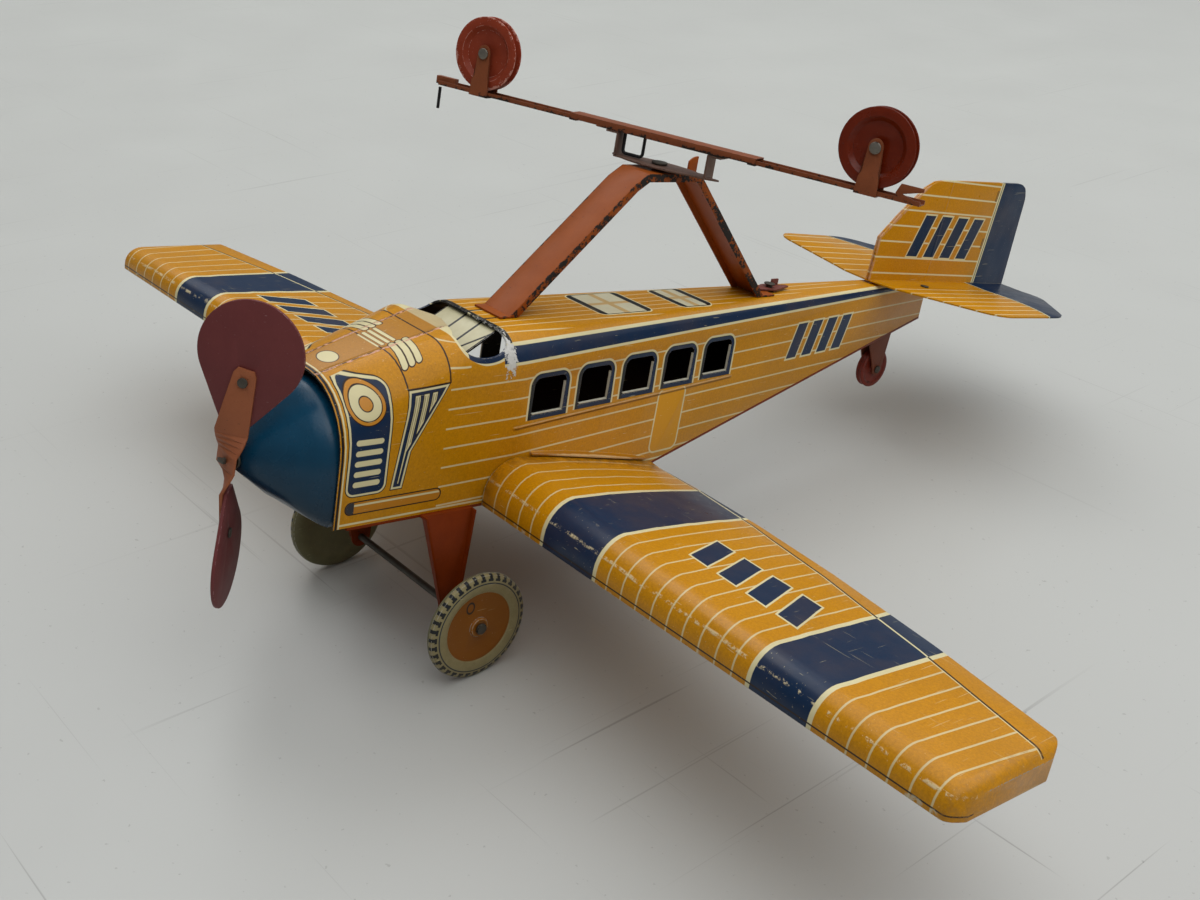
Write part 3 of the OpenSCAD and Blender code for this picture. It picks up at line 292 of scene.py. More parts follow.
def pressed(node, finish, edge=0.2, turn=30, reshape=None):
    """A CAD node's copy with rounded edges. Its faces carry the attributes rim, on
    the rounded edges, and inner, where they look towards the body's middle."""
    shape = bmesh.new()
    shape.from_mesh(frame["nodes"][node].data)
    shape.transform(stance.inverted())
    bmesh.ops.remove_doubles(shape, verts=shape.verts, dist=1e-3)
    bmesh.ops.dissolve_limit(shape, angle_limit=0.01, verts=shape.verts, edges=shape.edges)
    if reshape:
        reshape(shape)
    shape.normal_update()
    rim = shape.faces.layers.float.new("rim")
    inner = shape.faces.layers.float.new("inner")
    for face in shape.faces:
        middle = face.calc_center_median()
        within = abs(middle.x) < half_w - 0.25 - taper * max(0, middle.y - taper_from)
        face[inner] = within and face.normal.dot(Vector((middle.x, 0, middle.z - middle_z))) < 0
    if edge:
        sharp = [e for e in shape.edges
                 if len(e.link_faces) == 2 and e.calc_face_angle(0) > math.radians(turn)]
        rounded = bmesh.ops.bevel(shape, geom=sharp, offset=edge, offset_type="OFFSET", segments=2,
                                  profile=0.5, affect="EDGES", clamp_overlap=True, material=-1)
        for face in rounded["faces"]:
            face[rim] = 1
    keep_piece(shape, node + "_sheet", body_of(node), finish, [node])


def rounded_box(u, v, half_u, half_v, radius):
    """Distance outside a box with rounded corners; negative inside it."""
    past_u = abs(u) - half_u + radius
    past_v = abs(v) - half_v + radius
    out_u, out_v = past_u.most(0), past_v.most(0)
    return (out_u * out_u + out_v * out_v) ** 0.5 + past_u.most(past_v).least(0) - radius


def slant_bars(u, v, pitch, width, height, slant):
    """Four navy bars in a row, leaning over, and the cream edge round them."""
    count = 4
    u = u - v * slant + count * pitch / 2
    place = (u / pitch).whole()
    inside = under(abs(place - (count - 1) / 2), count / 2, 0.1)
    across = abs(u - place * pitch - pitch / 2)
    outside = across.most(abs(v) - (height - width) / 2)
    bar = under(outside, width / 2) * inside
    edge = under(outside, width / 2 + 0.9) * inside
    return bar, edge


ochre, ochre_deep = hue("#d69402"), hue("#a96c00")
cream, navy, black = hue("#ddd2a4"), hue("#0f2846"), hue("#101114")
tin_bare = hue("#a09a90")
line_brown, line_dark, disc_line = hue("#3a2416"), hue("#20150f"), hue("#2a1a12")
disc_ochre = hue("#c8862a")


def ochre_ground(mm):
    """The litho's ground: two ochres in a fine dot screen."""
    return ((mm.grain(1.1, 4, 0.8) - 0.25) * 1.7).clamp().blend(ochre, ochre_deep)


def worn(shader, mm, colour, amount=1.0, rough=0.2, dents=0.12, gloss=0.3):
    """Lays specks, hairlines, smudges and chipped edges over a printed colour, feeds
    the shader, and gives the height in millimetres that goes with them."""
    rim = mm.node("Attribute", {"attribute_name": "rim"}, {}, 2)
    cloud = mm.grain(0.035, 4, 0.6)
    chip = over(mm.grain(0.8, 3, 0.7) + rim * 0.3 + cloud * 0.2, 0.9 - 0.02 * amount, 0.05)
    down = mm.moved(turn=(0.3, 0.5, 0.35), size=(1.6, 0.05, 1.6)).grain(1, 2, 0.4)
    across = mm.moved(turn=(0.9, 0.2, 1.1), size=(0.04, 1.9, 1.9)).grain(1, 2, 0.4)
    hair = over(down, 0.735, 0.02).most(over(across, 0.745, 0.02))
    colour = colour.coat((cloud - 0.45).clamp() * 0.5 * amount, hue("#7a5a30"))
    colour = colour.coat(hair * 0.35 * amount, cream).coat(chip * amount, tin_bare)
    feed(shader, Base_Color=colour, Roughness=rough + 0.25 * mm.grain(0.05, 4, 0.65) + 0.2 * chip,
         Specular_IOR_Level=gloss)
    return mm.grain(0.03, 2, 0.4) * dents * 6 + mm.grain(0.6, 2, 0.5) * 0.02 - chip * 0.03


body_finish, body_shader, at = new_finish("body_litho")
mm, (x, y, z) = body_mm(at)
wide = abs(x)
outside_wall = wide - (half_w - taper * (y - taper_from).most(0))

# Pinstripes along the sides and the roof, and the door.
aft = over(y, cowl_len + 0.4)
roof = over(z, 66.6) * over(y, 74)
level_z = z - 0.0215 * (y - 54)
stripe = band(level_z.off(7.95, 2.6), 0, 0.36) * aft
stripe = stripe * (under(level_z, 54.5) + under(y, 54) * under(z, 66)).clamp()
roof_stripe = band(x.off(4.8, 1.6), 0, 0.28) * roof * under(outside_wall, -6.5)
colour = ochre_ground(mm).coat(stripe * 0.85, cream).coat(roof_stripe * 0.8, cream)
door = rounded_box(y - 174.4, z - 19.5, 9.1, 15, 3.5)
colour = colour.coat(under(door, 0), ochre).coat(band(door, 0, 0.4) * under(z, 34), cream)

# Two skylights with crossed bars, and two dark lines down from the screen.
for light_y, half_y, half_x in ((147.5, 14.5, 13), (190.5, 9.5, 12)):
    light = rounded_box(y - light_y, x, half_y, half_x, 3)
    cross = band(x, 0, 1.3).most(band(y, light_y, 1.6))
    pane = cross.blend(hue("#cdc8ab"), hue("#c3a066"))
    pane = pane.coat((mm.grain(0.12, 3, 0.6) - 0.35).clamp() * 0.8, hue("#b9a878"))
    inside = under(light.most(abs(y - light_y) - half_y + 2.8), -0.5)
    colour = colour.coat(under(light, 0.9) * roof, cream).coat(under(light, 0.2) * roof, black)
    colour = colour.coat(inside * roof, pane)
for line_x in (6.2, -4.0):
    colour = colour.coat(band(x, line_x, 0.55) * roof * under(y, 82), black)

# The navy shoulder, and the ring round the cockpit's cut.
cut_y, cut_z = abs(y - 62.4), (68 - z).most(0)
cut_ring = ((cut_y / 13.6) ** 2 + (cut_z / 10.1) ** 2.86) ** 0.4 * 10
cut_in = under(cut_ring, 9 + over(y, 58, 6)) * over(z, 50)
low_edge, high_edge = 58 + 0.025 * (y - 80), 63.7 + 0.0117 * (y - 80)
shoulder = over(z, low_edge - 1.1) * under(z, high_edge + 1.1) * over(y, 70)
colour = colour.coat(shoulder.most(cut_in), cream)
chipped_black = over(z, 64.5) * over(y, 71) * over(mm.grain(0.4, 3), 0.35, 0.1)
colour = colour.coat(cut_in * chipped_black, black)
shoulder = over(z, low_edge) * under(z, high_edge) * over(y, 70)
cut_navy = under(cut_ring, 9.1) * over(y, 53.5) * over(z, 50) * under(z, 64)
colour = colour.coat(shoulder.most(cut_navy), navy)

# Five windows a side in navy and black frames, with a pressed rib below them.
row = ((y - (window_y - 13.5)) / window_step).whole()
frame_u = y - row * window_step - window_y
frame_v = z - row * window_rise - window_z
five = band(row, 2, 2.5, 0.1) * over(z, 28) * under(z, 60)
frame_edge = rounded_box(frame_u + 0.04 * frame_v, frame_v, 11.7, 10.6, 1 + 5 * over(frame_v, 0, 2))
colour = colour.coat(under(frame_edge, 0.1) * five * over(frame_v, -9.7), cream)
colour = colour.coat(under(frame_edge, -0.85) * five, black)
colour = colour.coat(under(frame_edge, -1.15) * over(frame_u, -8.6) * five, navy)
above_rib = z - 30.4 - 0.0304 * (y - 79)
rib_ends = over(y, 79, 2) * under(y, 215, 2)
rib = band(above_rib, 0, 0.55, 0.5) * rib_ends
# The rib's top gets a light line, partly rubbed wear and partly painted highlight; under the rib, a dark
# line of painted shadow.
rubbed_and_highlit = (0.5 + 1.2 * (mm.grain(0.25, 3, 0.7) - 0.4)).clamp()
colour = colour.coat(band(above_rib, 0.25, 0.35, 0.4) * rib * rubbed_and_highlit, hue("#e2bd8a"))
colour = colour.coat(band(above_rib, -0.9, 0.3, 0.5) * rib_ends * 0.6, hue("#7a4c08"))
mark, mark_edge = slant_bars(y - 282, z - 46.6 - 0.02 * (y - 282), 12.5, 7.6, 17, 0.3)
mark_at = over(y, 248) * under(y, 316)
colour = colour.coat(mark_edge * mark_at, cream).coat(mark * mark_at, navy)

# The cowl's top: a strip between two ridges in painted sheen, panel lines, slats, an oval.
cowl = under(y, cowl_len + 0.2)
ridge_x = 8 + 0.058 * y
brow = 50.9 + 0.126 * (y - brow_y)
strip = under(wide, ridge_x) * over(z, 51) * under(y, 58)
# A mottled brown coat over the strip: painted sheen on what is the same ochre.
colour = colour.coat(strip * (0.25 + 0.35 * mm.grain(0.1, 3)), hue("#94693a"))
lines = band(y, cowl_len, 0.32) * over(z, 52.8)
lines = lines.most(band(y + 0.07 * (z - 51), brow_y, 0.32) * over(z, 50.8) * over(z + y * 0.2, 0))
lines = lines.most(band(z, brow, 0.3) * over(y, brow_y - 0.2) * cowl)
lines = lines.most(band(wide, ridge_x, 0.3) * over(z, 51) * under(y, 53))
colour = colour.coat(lines, line_brown)
swept_y = y + 0.15 * wide
slat = rounded_box(wide - 15.5, swept_y.off(2.95, 32.6), 7.6, 1.25, 1.2)
slats_at = over(swept_y, 31) * under(swept_y, 40) * over(z, 50)
colour = colour.coat(under(slat, 0.35) * slats_at, line_brown).coat(under(slat, -0.1) * slats_at, cream)
slat = rounded_box(wide, y.off(2.4, 29), 7.2, 0.7, 0.6)
slats_at = over(y, 26.5) * under(y, 35.2) * strip
colour = colour.coat(under(slat, 0.25) * slats_at, hue("#5c3a22")).coat(under(slat, 0) * slats_at, cream)
oval = (wide * wide / 30 + (y - 10) ** 2 / 14) ** 0.5
colour = colour.coat(under(oval, 1, 0.05) * strip, hue("#4a3322"))
colour = colour.coat(under(oval, 0.9, 0.05) * strip, cream)

# The cowl's sides: a slanted louvre, a panel with a ringed disc and slats, a pipe.
fore_edge = 22.8 + 0.13 * (z - 12.4)
aft_edge = (28.5 + 0.15 * (z - 12.8)).most(30.7 + 0.564 * (z - 27.4))
louvre = (fore_edge - y).most(y - aft_edge).most(z - brow).most(12.4 - z)
colour = colour.coat(under(louvre, 0), line_dark).coat(under(louvre, -0.4), cream)
colour = colour.coat(under(louvre, -1.2), navy)
louvre_slat = (y - fore_edge).off(3.5, 3.9)
colour = colour.coat(band(louvre_slat, 0, 1.3) * under(louvre, -2.1), black)
colour = colour.coat(band(louvre_slat, 0, 1.0) * under(louvre, -2.4), cream)
colour = colour.coat(band(louvre_slat, 0.5, 0.16) * under(louvre, -3), hue("#8d8468"))
cheek = over(wide, 12) * cowl
panel = rounded_box(y - 12.2, z - 33.5, 9.0, 21.5, 4)
for inset, tint in ((0, line_dark), (-0.4, cream), (-1.2, navy)):
    colour = colour.coat(under(panel, inset) * cheek, tint)
disc = ((y - 11.5) ** 2 + (z - 46.5) ** 2) ** 0.5
for radius, tint in ((7.4, disc_line), (7.0, disc_ochre), (5.9, disc_line), (5.5, cream),
                     (2.6, disc_line), (2.2, disc_ochre)):
    colour = colour.coat(under(disc, radius) * cheek, tint)
slat = rounded_box(y - 12.2, z.off(4.1, 17), 5.8, 1.1, 1.1)
colour = colour.coat(under(slat, 0) * over(z, 14.6) * under(z, 36) * cheek, cream)
pipe = rounded_box(y - 25.5, z - 7.6, 21.5, 2.7, 2.6)
flank = over(wide, 20)
colour = colour.coat(under(pipe, 0) * flank, black).coat(under(pipe, -0.5) * flank, hue("#c07d1c"))
colour = colour.coat(band(z, 8.6, 0.4) * under(pipe, -0.8) * flank, cream)
colour = colour.coat(under(pipe, -0.5) * under(y, 8) * flank, hue("#33343a"))
colour = colour.coat(band(y, 1.0, 0.5), black).coat(band(y, 2.1, 0.32), cream)
colour = colour.coat(band(z, 1.4, 0.4) * under(y, 200) * over(y, 2), cream)

# Wear of its own: scraped ridges, a flake of paint lost behind the cockpit, bare
# edges on the lips over the wing roots. Inside, painted shade: near-black inner faces.
ridge = band(wide, ridge_x, 0.9, 0.9) * over(z, 51, 1) * under(y, 56)
scraped = band(wide, ridge_x + 0.3, 0.7, 0.4) * over(z, 51) * under(y, 56)
scraped = scraped * over(mm.grain(0.45, 4, 0.75), 0.5, 0.1)
colour = colour.coat(scraped, hue("#d9a58a"))
flake = ((y - 73.4) ** 2 / 9 + (z - 60) ** 2 / 70) ** 0.5 + (mm.grain(0.5, 4, 0.75) - 0.5) * 3.2
flake = under(flake, 0.8, 0.1) * over(x, 0)
colour = colour.coat(flake, mm.grain(1.2, 3, 0.7).blend(hue("#b7b6b2"), hue("#e6e5df")))
lip = over(outside_wall, 0.5, 0.3) * under(z, 30)
lip_edge = over(outside_wall + mm.grain(0.3, 3, 0.7) * 1.6, 3.0, 0.6) * lip
colour = colour.coat(lip, ochre_deep).coat(lip_edge, hue("#cfa871"))
# Faces looking into the body are near black: painted shade, not the tin's own colour.
inner = mm.node("Attribute", {"attribute_name": "inner"}, {}, 2)
colour = colour.coat(over(inner, 0.5), hue("#241a14"))
height = worn(body_shader, mm, colour, gloss=0.24)
raised(body_shader, height + rib * 0.9 + ridge * 0.4 - flake * 0.1)
pressed("fuselage_shell", body_finish, 0.12)


# The windows' flanges: the sheet's cut edges folded inwards, bright bare tin
# along the bottom and the rear of each opening.
flange_deep, flange_thick = 0.9, 0.3
flange_finish, flange_shader, at = new_finish("flange_tin")
mm, _ = body_mm(at)
colour = mm.grain(0.5, 3, 0.7).blend(hue("#d9d6c4"), hue("#a9a594"))
raised(flange_shader, worn(flange_shader, mm, colour, rough=0.3))
flanges = bmesh.new()
for window in range(5):
    front, foot = window_y - 9 + window_step * window, window_z - 7.9 + window_rise * window
    corners = [(front + 0.8, foot + 0.3), (front + 17.5, foot + 0.3), (front + 17.5, foot + 12.7)]
    for side in (1, -1):
        rows = []
        for depth, shrink in ((0.0, 0.0), (flange_deep, 0.3)):
            rows.append([flanges.verts.new((side * (half_w - taper * max(0, along - taper_from) - depth),
                                            along - shrink * (i > 0), up + shrink * (i < 2)))
                         for i, (along, up) in enumerate(corners)])
        for i in range(2):
            flanges.faces.new((rows[0][i], rows[0][i + 1], rows[1][i + 1], rows[1][i]))
bmesh.ops.recalc_face_normals(flanges, faces=flanges.faces)
bmesh.ops.solidify(flanges, geom=flanges.faces[:], thickness=flange_thick)
keep_piece(flanges, "window_flanges", "airframe", flange_finish)


# The windscreen: a cream pane with black glazing bars, sloping down inside the
# cockpit's cut.
screen_finish, screen_shader, at = new_finish("windscreen_print")
mm, (x, y, _) = body_mm(at)
colour = mm.grain(0.15, 3, 0.6).blend(hue("#d5cfae"), hue("#bdb48c"))
for bar in (band(x, 6.2, 0.6), band(x, -4.0, 0.6), band(x - y * 0.5, -20, 0.6), over(abs(x), 15.6)):
    colour = colour.coat(bar, black)
raised(screen_shader, worn(screen_shader, mm, colour))
pressed("windscreen_panel", screen_finish, 0.1)


# The wings: printed skins rolled down over the nose and the tip, with navy
# bands, cream ribs and a black aileron line; plain ochre sheets close them below.
wing_root, wing_tip = 30.4, 269
wing_finish, wing_shader, at = new_finish("wing_litho")
mm, (x, y, z) = body_mm(at)
span = abs(x)
share = (span - wing_root) / (wing_tip - wing_root)
nose_y, tail_edge = 67.6 - 15.6 * share, 166 - 60.5 * share
chord_share = ((y - nose_y) / (tail_edge - nose_y)).clamp()
rib_x = span + chord_share * (13 - 0.072 * span)
aileron = y - tail_edge + 0.0474 * (span - 32).most(0)
ribs = []
for step, first, low, high in ((8.25, 31, 29, 70), (8.25, 111.4, 105, 180), (8.15, 219.8, 214, 263)):
    ribs.append(band(rib_x.off(step, first), 0, 0.38) * over(rib_x, low) * under(rib_x, high))
printed_ribs = ribs[0].most(ribs[1]).most(ribs[2]) * under(aileron, 0)
colour = ochre_ground(mm).coat(printed_ribs * 0.75, cream)
bands = band(rib_x, 87.75, 15.25).most(band(rib_x, 198.7, 12.75))
colour = colour.coat(band(rib_x, 87.75, 17.2).most(band(rib_x, 198.7, 14.7)), cream)
colour = colour.coat(bands, navy)
hinged = over(span, 31) * under(span, wing_tip - 0.8)
colour = colour.coat(band(aileron, 0, 0.4) * hinged, bands.blend(black, cream))
colour = colour.coat(band(aileron, -0.75, 0.22) * hinged * (1 - bands), cream)
above_lip = z + 0.8 - 9 * share
nose = under(y - nose_y, 9)
colour = colour.coat(band(above_lip, 1.9, 0.28) * nose, hue("#2c1c10"))
mark, mark_edge = slant_bars(span - 148.5, y - 97 + 0.1 * (span - 148.5), 15.5, 9.4, 21, -0.35)
mark_at = over(span, 112) * under(span, 184) * over(above_lip, 8)
colour = colour.coat(mark_edge * mark_at, cream).coat(mark * mark_at, navy)
wander = (mm.grain(0.05, 2) - 0.5) * 1.5
# A bright broken line along the nose's crest: partly worn flecks, partly a painted highlight.
crest_wear_and_highlight = band(above_lip - 11.3 + 4 * share + wander, 0, 0.5, 0.4) * nose
crest_wear_and_highlight = crest_wear_and_highlight * over(mm.grain(0.3, 4, 0.8) + mm.grain(0.02, 2) * 0.4, 0.72, 0.1)
colour = colour.coat(crest_wear_and_highlight * 0.8, hue("#e0cfa4"))
bruised = over(mm.grain(0.09, 2, 0.5) + under(above_lip, 2.5, 2) * 0.12, 0.74, 0.03) * nose
bruised = bruised * over(mm.grain(0.7, 3, 0.7), 0.45, 0.1)
colour = colour.coat(bruised * 0.8, hue("#c9bda0"))
tip_worn = over(span, 263.5, 3) * over(mm.grain(0.4, 4, 0.75), 0.52, 0.15)
root_worn = under(span, 35, 7) * over(mm.grain(0.3, 4, 0.75), 0.48, 0.15)
colour = colour.coat(tip_worn * 0.5, hue("#a8762e")).coat(root_worn * 0.6, hue("#6b4516"))
raised(wing_shader, worn(wing_shader, mm, colour, dents=0.2) + crest_wear_and_highlight * 0.1)
under_finish, under_shader, at = new_finish("plain_ochre_tin")
mm, _ = body_mm(at)
raised(under_shader, worn(under_shader, mm, ochre_ground(mm), amount=1.4, rough=0.26))
for side in ("left", "right"):
    pressed(f"wing_{side}_upper", wing_finish, 0.15)
    pressed(f"wing_{side}_lower", under_finish, 0.15)


# The tail: two bent sheets back to back. Each is half of the tailplane and one
# side of the fin; navy rudder and elevators behind cream and black lines.
tail_y, tail_z, tilt = 340, 68.1, math.radians(4)
tail_finish, tail_shader, at = new_finish("tail_litho")
mm, (x, y, z) = body_mm(at)
out = abs(x)
along = (y - tail_y) * math.cos(tilt) - (z - tail_z) * math.sin(tilt)
up = (y - tail_y) * math.sin(tilt) + (z - tail_z) * math.cos(tilt)
fin = under(out, 1.4, 0.3) * over(up, 0.9)
flat = 1 - fin
rudder = along - 78.7 - 0.037 * (up - 3.7)
elevator = along - 73 + 0.006 * out * out
colour = ochre_ground(mm).coat(band(up.off(8.35, 4.6), 0, 0.42) * fin, cream)
colour = colour.coat(band(out.off(8.8, 8.1), 0, 0.42) * flat * over(out, 14), cream)
colour = colour.coat(over(rudder, -0.6) * fin, cream).coat(band(rudder, 0.9, 0.25) * fin, black)
colour = colour.coat(over(rudder, 2.2) * fin, navy)
hinge = band(rudder, -1.6, 0.8) * band(up, 23, 3).most(band(up, 49.5, 3)) * fin
colour = colour.coat(hinge, black).coat(hinge * band(rudder, -1.6, 0.35), hue("#b7831f"))
colour = colour.coat(over(elevator, -1.4) * flat, black).coat(over(elevator, -0.9) * flat, cream)
colour = colour.coat(over(elevator, 0.3) * flat, navy)
mark, mark_edge = slant_bars(along - 42, up - 25, 15, 9, 22, 0.35)
colour = colour.coat(mark_edge * fin * under(rudder, -4), cream)
colour = colour.coat(mark * fin * under(rudder, -4.5), navy)
behind_lead = (along + 15).least(((along + 15) * 27 - (up - 23) * 28) * (1 / 38.9))
scraped = under(behind_lead, 0.9, 0.8) * fin * over(mm.grain(0.35, 4, 0.75), 0.48, 0.15)
colour = colour.coat(scraped * 0.8, hue("#c99a78"))
kink = band(along, 34, 0.8, 0.8) * fin
raised(tail_shader, worn(tail_shader, mm, colour, dents=0.35, gloss=0.12) + kink * 0.25)


def snipped_round(shape):
    """Rounds the rudder's top and the elevator's tip, as they were cut and bent.
    Each pair is a corner and its new place, in millimetres of the tail's own."""
    elevator_rear = (30, 105)
    rudder_top = {(98, 57.5): (99.5, 57.6), (101, 56.7): (104.6, 55.4), (102.4, 54): (107.2, 50)}
    elevator_tip = {(74, 52): (74, 44), (73.9, 53.3): (73.7, 49), (73.4, 54.5): (72.4, 54),
                    (72.8, 55.7): (70, 58.6), (71.9, 56.6): (66.7, 62.6), elevator_rear: elevator_rear}
    corners = {}
    for v in shape.verts:
        out, y, z = abs(v.co.x), v.co.y - tail_y, v.co.z - tail_z
        along = y * math.cos(tilt) - z * math.sin(tilt)
        up = y * math.sin(tilt) + z * math.cos(tilt)
        for old, new in rudder_top.items():
            if out < 2 and math.dist((along, up), old) < 0.3:
                along, up = corners[v] = new
        for old, new in elevator_tip.items():
            if math.dist((out, along), old) < 0.3:
                up += (new[0] - out) * math.tan(tilt)
                out, along = corners[v] = new
        if v in corners:
            v.co = (math.copysign(out, v.co.x), tail_y + along * math.cos(tilt) + up * math.sin(tilt),
                    tail_z - along * math.sin(tilt) + up * math.cos(tilt))
    for corner in (*elevator_tip.values(), *rudder_top.values()):
        radius, segments = (12, 6) if corner == elevator_rear else (1.6, 2)
        edges = [e for e in shape.edges if all(corners.get(v) == corner for v in e.verts)]
        bmesh.ops.bevel(shape, geom=edges, offset=radius, offset_type="OFFSET", segments=segments,
                        profile=0.5, affect="EDGES", clamp_overlap=True, material=-1)


for side in ("left", "right"):
    pressed(f"tail_{side}", tail_finish, 0.15, reshape=snipped_round)


# The nose: a teal lacquered cone, round above and square below, darkened towards
# its foot with painted shade, with a steel bush for the shaft pressed into its tip.
def painted(name, tone, deep, rim_hue, rim_wear=0.55, rough=0.25, scratch_hue=None, metallic=0.0,
            dents=0.1, gloss=0.25, from_edge=None, painted_shade=None):
    """A lacquer or a bare metal in two tones, scratched, and gone to rim_hue at its
    edges. from_edge gives a distance from an edge, and painted_shade how much rim_hue is laid on as painted
    shade."""
    finish, shader, at = new_finish(name)
    mm, parts = body_mm(at)
    rim = mm.node("Attribute", {"attribute_name": "rim"}, {}, 2)
    colour = mm.grain(0.12, 4, 0.7).blend(hue(tone), hue(deep))
    colour = colour.coat((mm.grain(2.2, 2, 0.6) - 0.4).clamp() * 0.6, hue(deep))
    # Painted shade: rim_hue laid on where the given shade mask says.
    if painted_shade:
        colour = colour.coat(painted_shade(*parts), hue(rim_hue))
    edge = rim * 0.3
    if from_edge:
        edge = edge.most(under(from_edge(*parts), 0.7, 1.8) * (mm.grain(0.045, 2, 0.5) * 1.1 - 0.2))
    gone = over(mm.grain(0.35, 4, 0.75) + edge * rim_wear, 0.7, 0.03)
    down = mm.moved(turn=(0.5, 0.9, 0.2), size=(1.3, 0.08, 1.3)).grain(1, 3, 0.5)
    across = mm.moved(turn=(1.2, 0.1, 0.7), size=(0.1, 1.5, 1.5)).grain(1, 3, 0.5)
    cut = over(down, 0.72, 0.015).most(over(across, 0.73, 0.015))
    colour = colour.coat(cut * 0.6, hue(scratch_hue or rim_hue)).coat(gone, hue(rim_hue))
    feed(shader, Base_Color=colour, Roughness=rough + 0.22 * mm.grain(0.08, 4, 0.65) + 0.15 * gone,
         Metallic=metallic, Specular_IOR_Level=gloss)
    bumps = mm.grain(0.04, 2, 0.4) * dents * 4 + mm.grain(0.9, 2, 0.5) * 0.03
    raised(shader, bumps - gone * 0.05 - cut * 0.04)
    return finish


bare_steel = painted("bare_steel_worn", "#6c675e", "#3c3833", "#262422", 0.4, 0.4, metallic=0.7)
# The cone darkens towards its foot: painted shade in its rim colour.
cone_lacquer = painted("teal_lacquer_worn", "#0d4d6b", "#083a55", "#062030", 0.5, 0.17, "#0a3048",
                       dents=0.3, gloss=0.35, painted_shade=lambda x, y, z: under(z, 22, 34) * 0.75)
pressed("nose_cone", cone_lacquer, 0.15, turn=50)
pressed("nose_bearing", bare_steel, 0.1)


# The propeller: maroon fibre blades riveted to a twisted salmon strap on a
# steel shaft, with a bead behind it and the dark rubber skein inside.
blade_paint = painted("blade_maroon", "#763a39", "#653031", "#8a6060", 0.5, 0.42, "#7d5250")
strap_salmon = painted("strap_salmon", "#a4623f", "#8e5034", "#33241d", 0.62, 0.4)
rubber_dark = painted("rubber_dark", "#2b2724", "#1f1c1a", "#1a1816", 0.3, 0.6)
for node in ("propeller_blade_upper", "propeller_blade_lower"):
    pressed(node, blade_paint, 0.25)
pressed("hub_strap", strap_salmon, 0.15)
for node in ("hub_rivets", "propeller_shaft", "thrust_bead"):
    pressed(node, bare_steel, 0.15)
pressed("rubber_motor", rubber_dark, 0)
pressed("rubber_anchor", bare_steel, 0.1)
pressed("tail_rivets", bare_steel, 0.2)


# The undercarriage: the belly pan with its two legs in orange-red lacquer, the
# axle, and wheels of two printed halves; a small red wheel in a fork behind.
# Both tones are darker than the lacquer's orange-red: painted shade, as under the body.
gear_lacquer = painted("gear_orange_red", "#823206", "#602104", "#3c1a0c", 0.5, 0.3, gloss=0.12)
pressed("belly_pan", gear_lacquer, 0.2)
pressed("main_axle", bare_steel, 0.3)
axle_y, axle_z = 56.4, -41.5
tread_count, disc_radius = 36, 15


def wheel_print(name, outside):
    """Cream tyre with hooked black tread marks round an ochre disc; khaki inside. Tyre and disc are darker
    than cream and ochre: painted shade.
    """
    finish, shader, at = new_finish(name)
    mm, (_, y, z) = body_mm(at)
    y, z = y - axle_y, z - axle_z
    r = (y * y + z * z) ** 0.5
    if not outside:
        colour = mm.grain(0.2, 4, 0.7).blend(hue("#77724f"), hue("#5f5b40"))
        raised(shader, worn(shader, mm, colour, rough=0.28))
        return finish
    turn = z.maths("ARCTAN2", z, y) * (tread_count / math.tau)
    block = turn - turn.whole()
    tread = band(block, 0.3, 0.2, 0.06) * over(r, 20.1)
    hook = band(block, 0.36, 0.34, 0.06) * band(r, 20.6, 0.5)
    ring = ((y + 5.2) ** 2 + ((z - 9.2) * 0.75) ** 2) ** 0.5
    # Tyre and disc in darkened tones: painted shade.
    colour = mm.grain(0.3, 4, 0.7).blend(hue("#9a8f68"), hue("#7b704c"))
    colour = colour.coat(tread.most(hook), hue("#1c2024")).coat(band(r, 19.2, 0.24), hue("#1d2a38"))
    colour = colour.coat(under(r, disc_radius), hue("#824a02"))
    colour = colour.coat(band(r, 3.6, 0.4, 0.4), hue("#9d6217")).coat(band(ring, 1.7, 0.32), hue("#23201c"))
    height = band(r, disc_radius, 0.4, 0.5) * -0.15 + band(r, 3.6, 0.5, 0.8) * 0.2
    raised(shader, worn(shader, mm, colour, rough=0.28) + height)
    return finish


wheel_outer_print = wheel_print("wheel_print", True)
wheel_inner_print = wheel_print("wheel_khaki", False)
for side in ("left", "right"):
    pressed(f"wheel_{side}_outer", wheel_outer_print, 0.1)
    pressed(f"wheel_{side}_inner", wheel_inner_print, 0.1)
fork_brown = painted("fork_red_brown", "#7c4029", "#65321f", "#2e211b", 0.55, 0.35)
wheel_red = painted("small_wheel_red", "#7e2c1c", "#672216", "#3a1a12", 0.5, 0.3)
pressed("tail_wheel_fork", fork_brown, 0.2)
pressed("tail_wheel_rivet", bare_steel, 0.2)
pressed("tail_wheel", wheel_red, 0.2)


# The mast: one strip with folded flanges, orange-brown lacquer chipped to dark
# iron along its edges; its turn latch on the roof is dark red-brown.
mast_half_w, mast_front, mast_foot = 8.5, 78, 68


def from_mast_edge(x, y, z):
    return ((mast_half_w - abs(x)) * 1.8).least((y - mast_front).most(z - mast_foot) * 0.3)


mast_orange = painted("mast_orange_brown", "#a0511b", "#854010", "#2b2623", 0.7, 0.3, "#43261a",
                      dents=0.25, gloss=0.15, from_edge=from_mast_edge)
latch_brown = painted("latch_red_brown", "#7b4034", "#5f2f28", "#33231e", 0.5, 0.35)
pressed("mast", mast_orange, 0.25)
pressed("mast_latch", latch_brown, 0.2)
pressed("latch_rivet", bare_steel, 0.3)


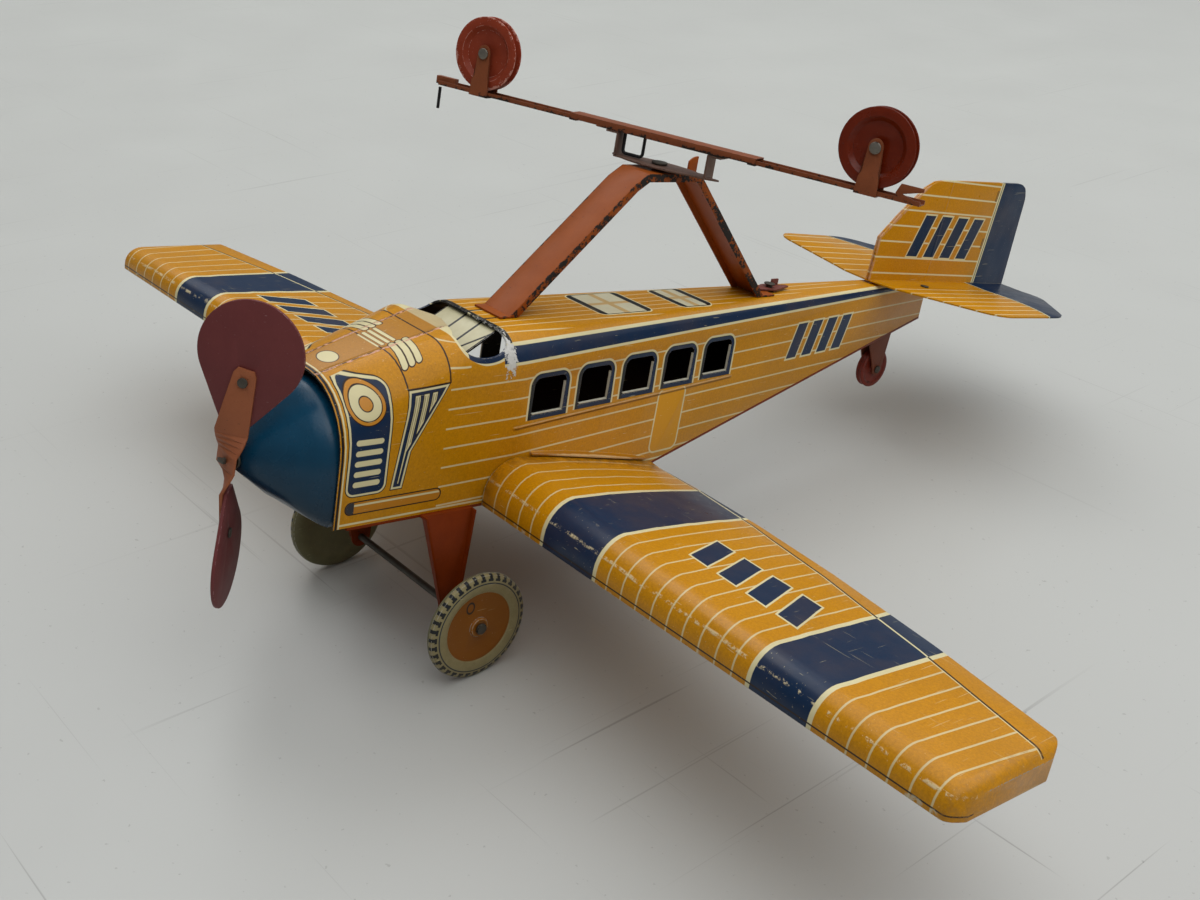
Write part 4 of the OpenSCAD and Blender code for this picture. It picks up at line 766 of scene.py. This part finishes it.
# The trolley: a lens plate with two brackets under a folded sleeve, a channel
# bar with two forks, wires, and four dished pulley discs on two rivets.
bar_y, bar_z, bar_end = 163, 136.4, 113.5
along_x, along_y = 0.9427, 0.3337
bar_top, sleeve_top = 140, 140.8
bracket_foot, bracket_lift = 134.5, 2.15
pin_x, pin_y = 86.16, 30.51
fork_step, fork_foot, foot_lift = 146, 135.5, 2.1
pulley_rim = 15.3


def from_pulley_rim(x, y, z):
    return pulley_rim - ((x + 86.2) ** 2 + (y - 132.5) ** 2 + (z - 156) ** 2) ** 0.5


plate_grey = painted("plate_grey_brown", "#75594c", "#5c463d", "#2f2724", 0.5, 0.35)
# Dark chips along the bar's side below its top, about z 138: partly wear and partly painted shade on that
# side.
trolley_brown = painted("trolley_brown", "#95522f", "#6e3a22", "#2b211c", 0.75, 0.35,
                        from_edge=lambda x, y, z: abs(z - 138) * 0.8)
wire_black = painted("wire_black", "#2a2b2d", "#1b1c1e", "#55504a", 0.4, 0.4)
pulley_brick = painted("pulley_brick_red", "#a5482f", "#80311f", "#c48a7c", 0.6, 0.2, "#c4857c",
                       gloss=0.15, from_edge=from_pulley_rim)
pulley_deep = painted("pulley_deep_red", "#7e2b10", "#5c1807", "#3a1810", 0.5, 0.14, gloss=0.25)
rivet_steel = painted("rivet_steel_worn", "#98938a", "#6d675e", "#33302c", 0.4, 0.3, metallic=0.7)


def shift_along(v, distance):
    """Moves a corner along the bar."""
    v.co.x += distance * along_x
    v.co.y += distance * along_y


def thinner_bar(shape):
    """Thins the bar from below, and trims the hook at its end. Each pair is one of
    the hook's corners and its new place, along the bar from its end and up."""
    hook = {(-12, 0): (-12, 0), (-1, 0): (-6.5, 0), (-3, 5): (-7.6, 5), (1, 8.4): (0.5, 7.4),
            (1, 9.4): (0.5, 8.8), (-7, 9.4): (-8.8, 8.8), (-8, 5): (-10.4, 5)}
    for v in shape.verts:
        run = v.co.x * along_x + (v.co.y - bar_y) * along_y
        rise = v.co.z - bar_z
        for old, new in hook.items():
            if math.dist((run - bar_end, rise), old) < 0.3:
                shift_along(v, new[0] + bar_end - run)
                v.co.z = bar_z + new[1]
        if run < 0 and rise > 6:
            v.co.z = bar_top + 1.8
        if v.co.z < bar_top + 0.2:
            v.co.z = bar_top - (bar_top - v.co.z) * 0.5


def thinner_sleeve(shape):
    for v in shape.verts:
        v.co.z = sleeve_top - (sleeve_top - v.co.z) * 0.58


def taller_brackets(shape):
    for v in shape.verts:
        v.co.z += bracket_lift if v.co.z > bracket_foot else 0


def stepped_fork(shape):
    """Narrows the arms above their step, and lifts their feet to the bar."""
    end = 1 if sum(v.co.x for v in shape.verts) > 0 else -1
    for v in shape.verts:
        if v.co.z > fork_step:
            run = (v.co.x - end * pin_x) * along_x + (v.co.y - bar_y - end * pin_y) * along_y
            shift_along(v, -0.17 * run)
        if v.co.z < fork_foot + 1.7:
            v.co.z = fork_foot + foot_lift + (v.co.z - fork_foot) * 0.5


pressed("swivel_plate", plate_grey, 0.2, reshape=taller_brackets)
pressed("pivot_rivet", bare_steel, 0.3)
pressed("trolley_sleeve", trolley_brown, 0.12, reshape=thinner_sleeve)
pressed("trolley_bar", trolley_brown, 0.12, reshape=thinner_bar)
pressed("catch_wire", wire_black, 0, reshape=taller_brackets)
pressed("trip_wire", wire_black, 0)
for side, lacquer in (("left", pulley_deep), ("right", pulley_brick)):
    pressed(f"fork_{side}", trolley_brown, 0.15, reshape=stepped_fork)
    pressed(f"pulley_{side}_front", lacquer, 0.1)
    pressed(f"pulley_{side}_back", lacquer, 0.1)
pressed("pulley_rivets", rivet_steel, 0.3)
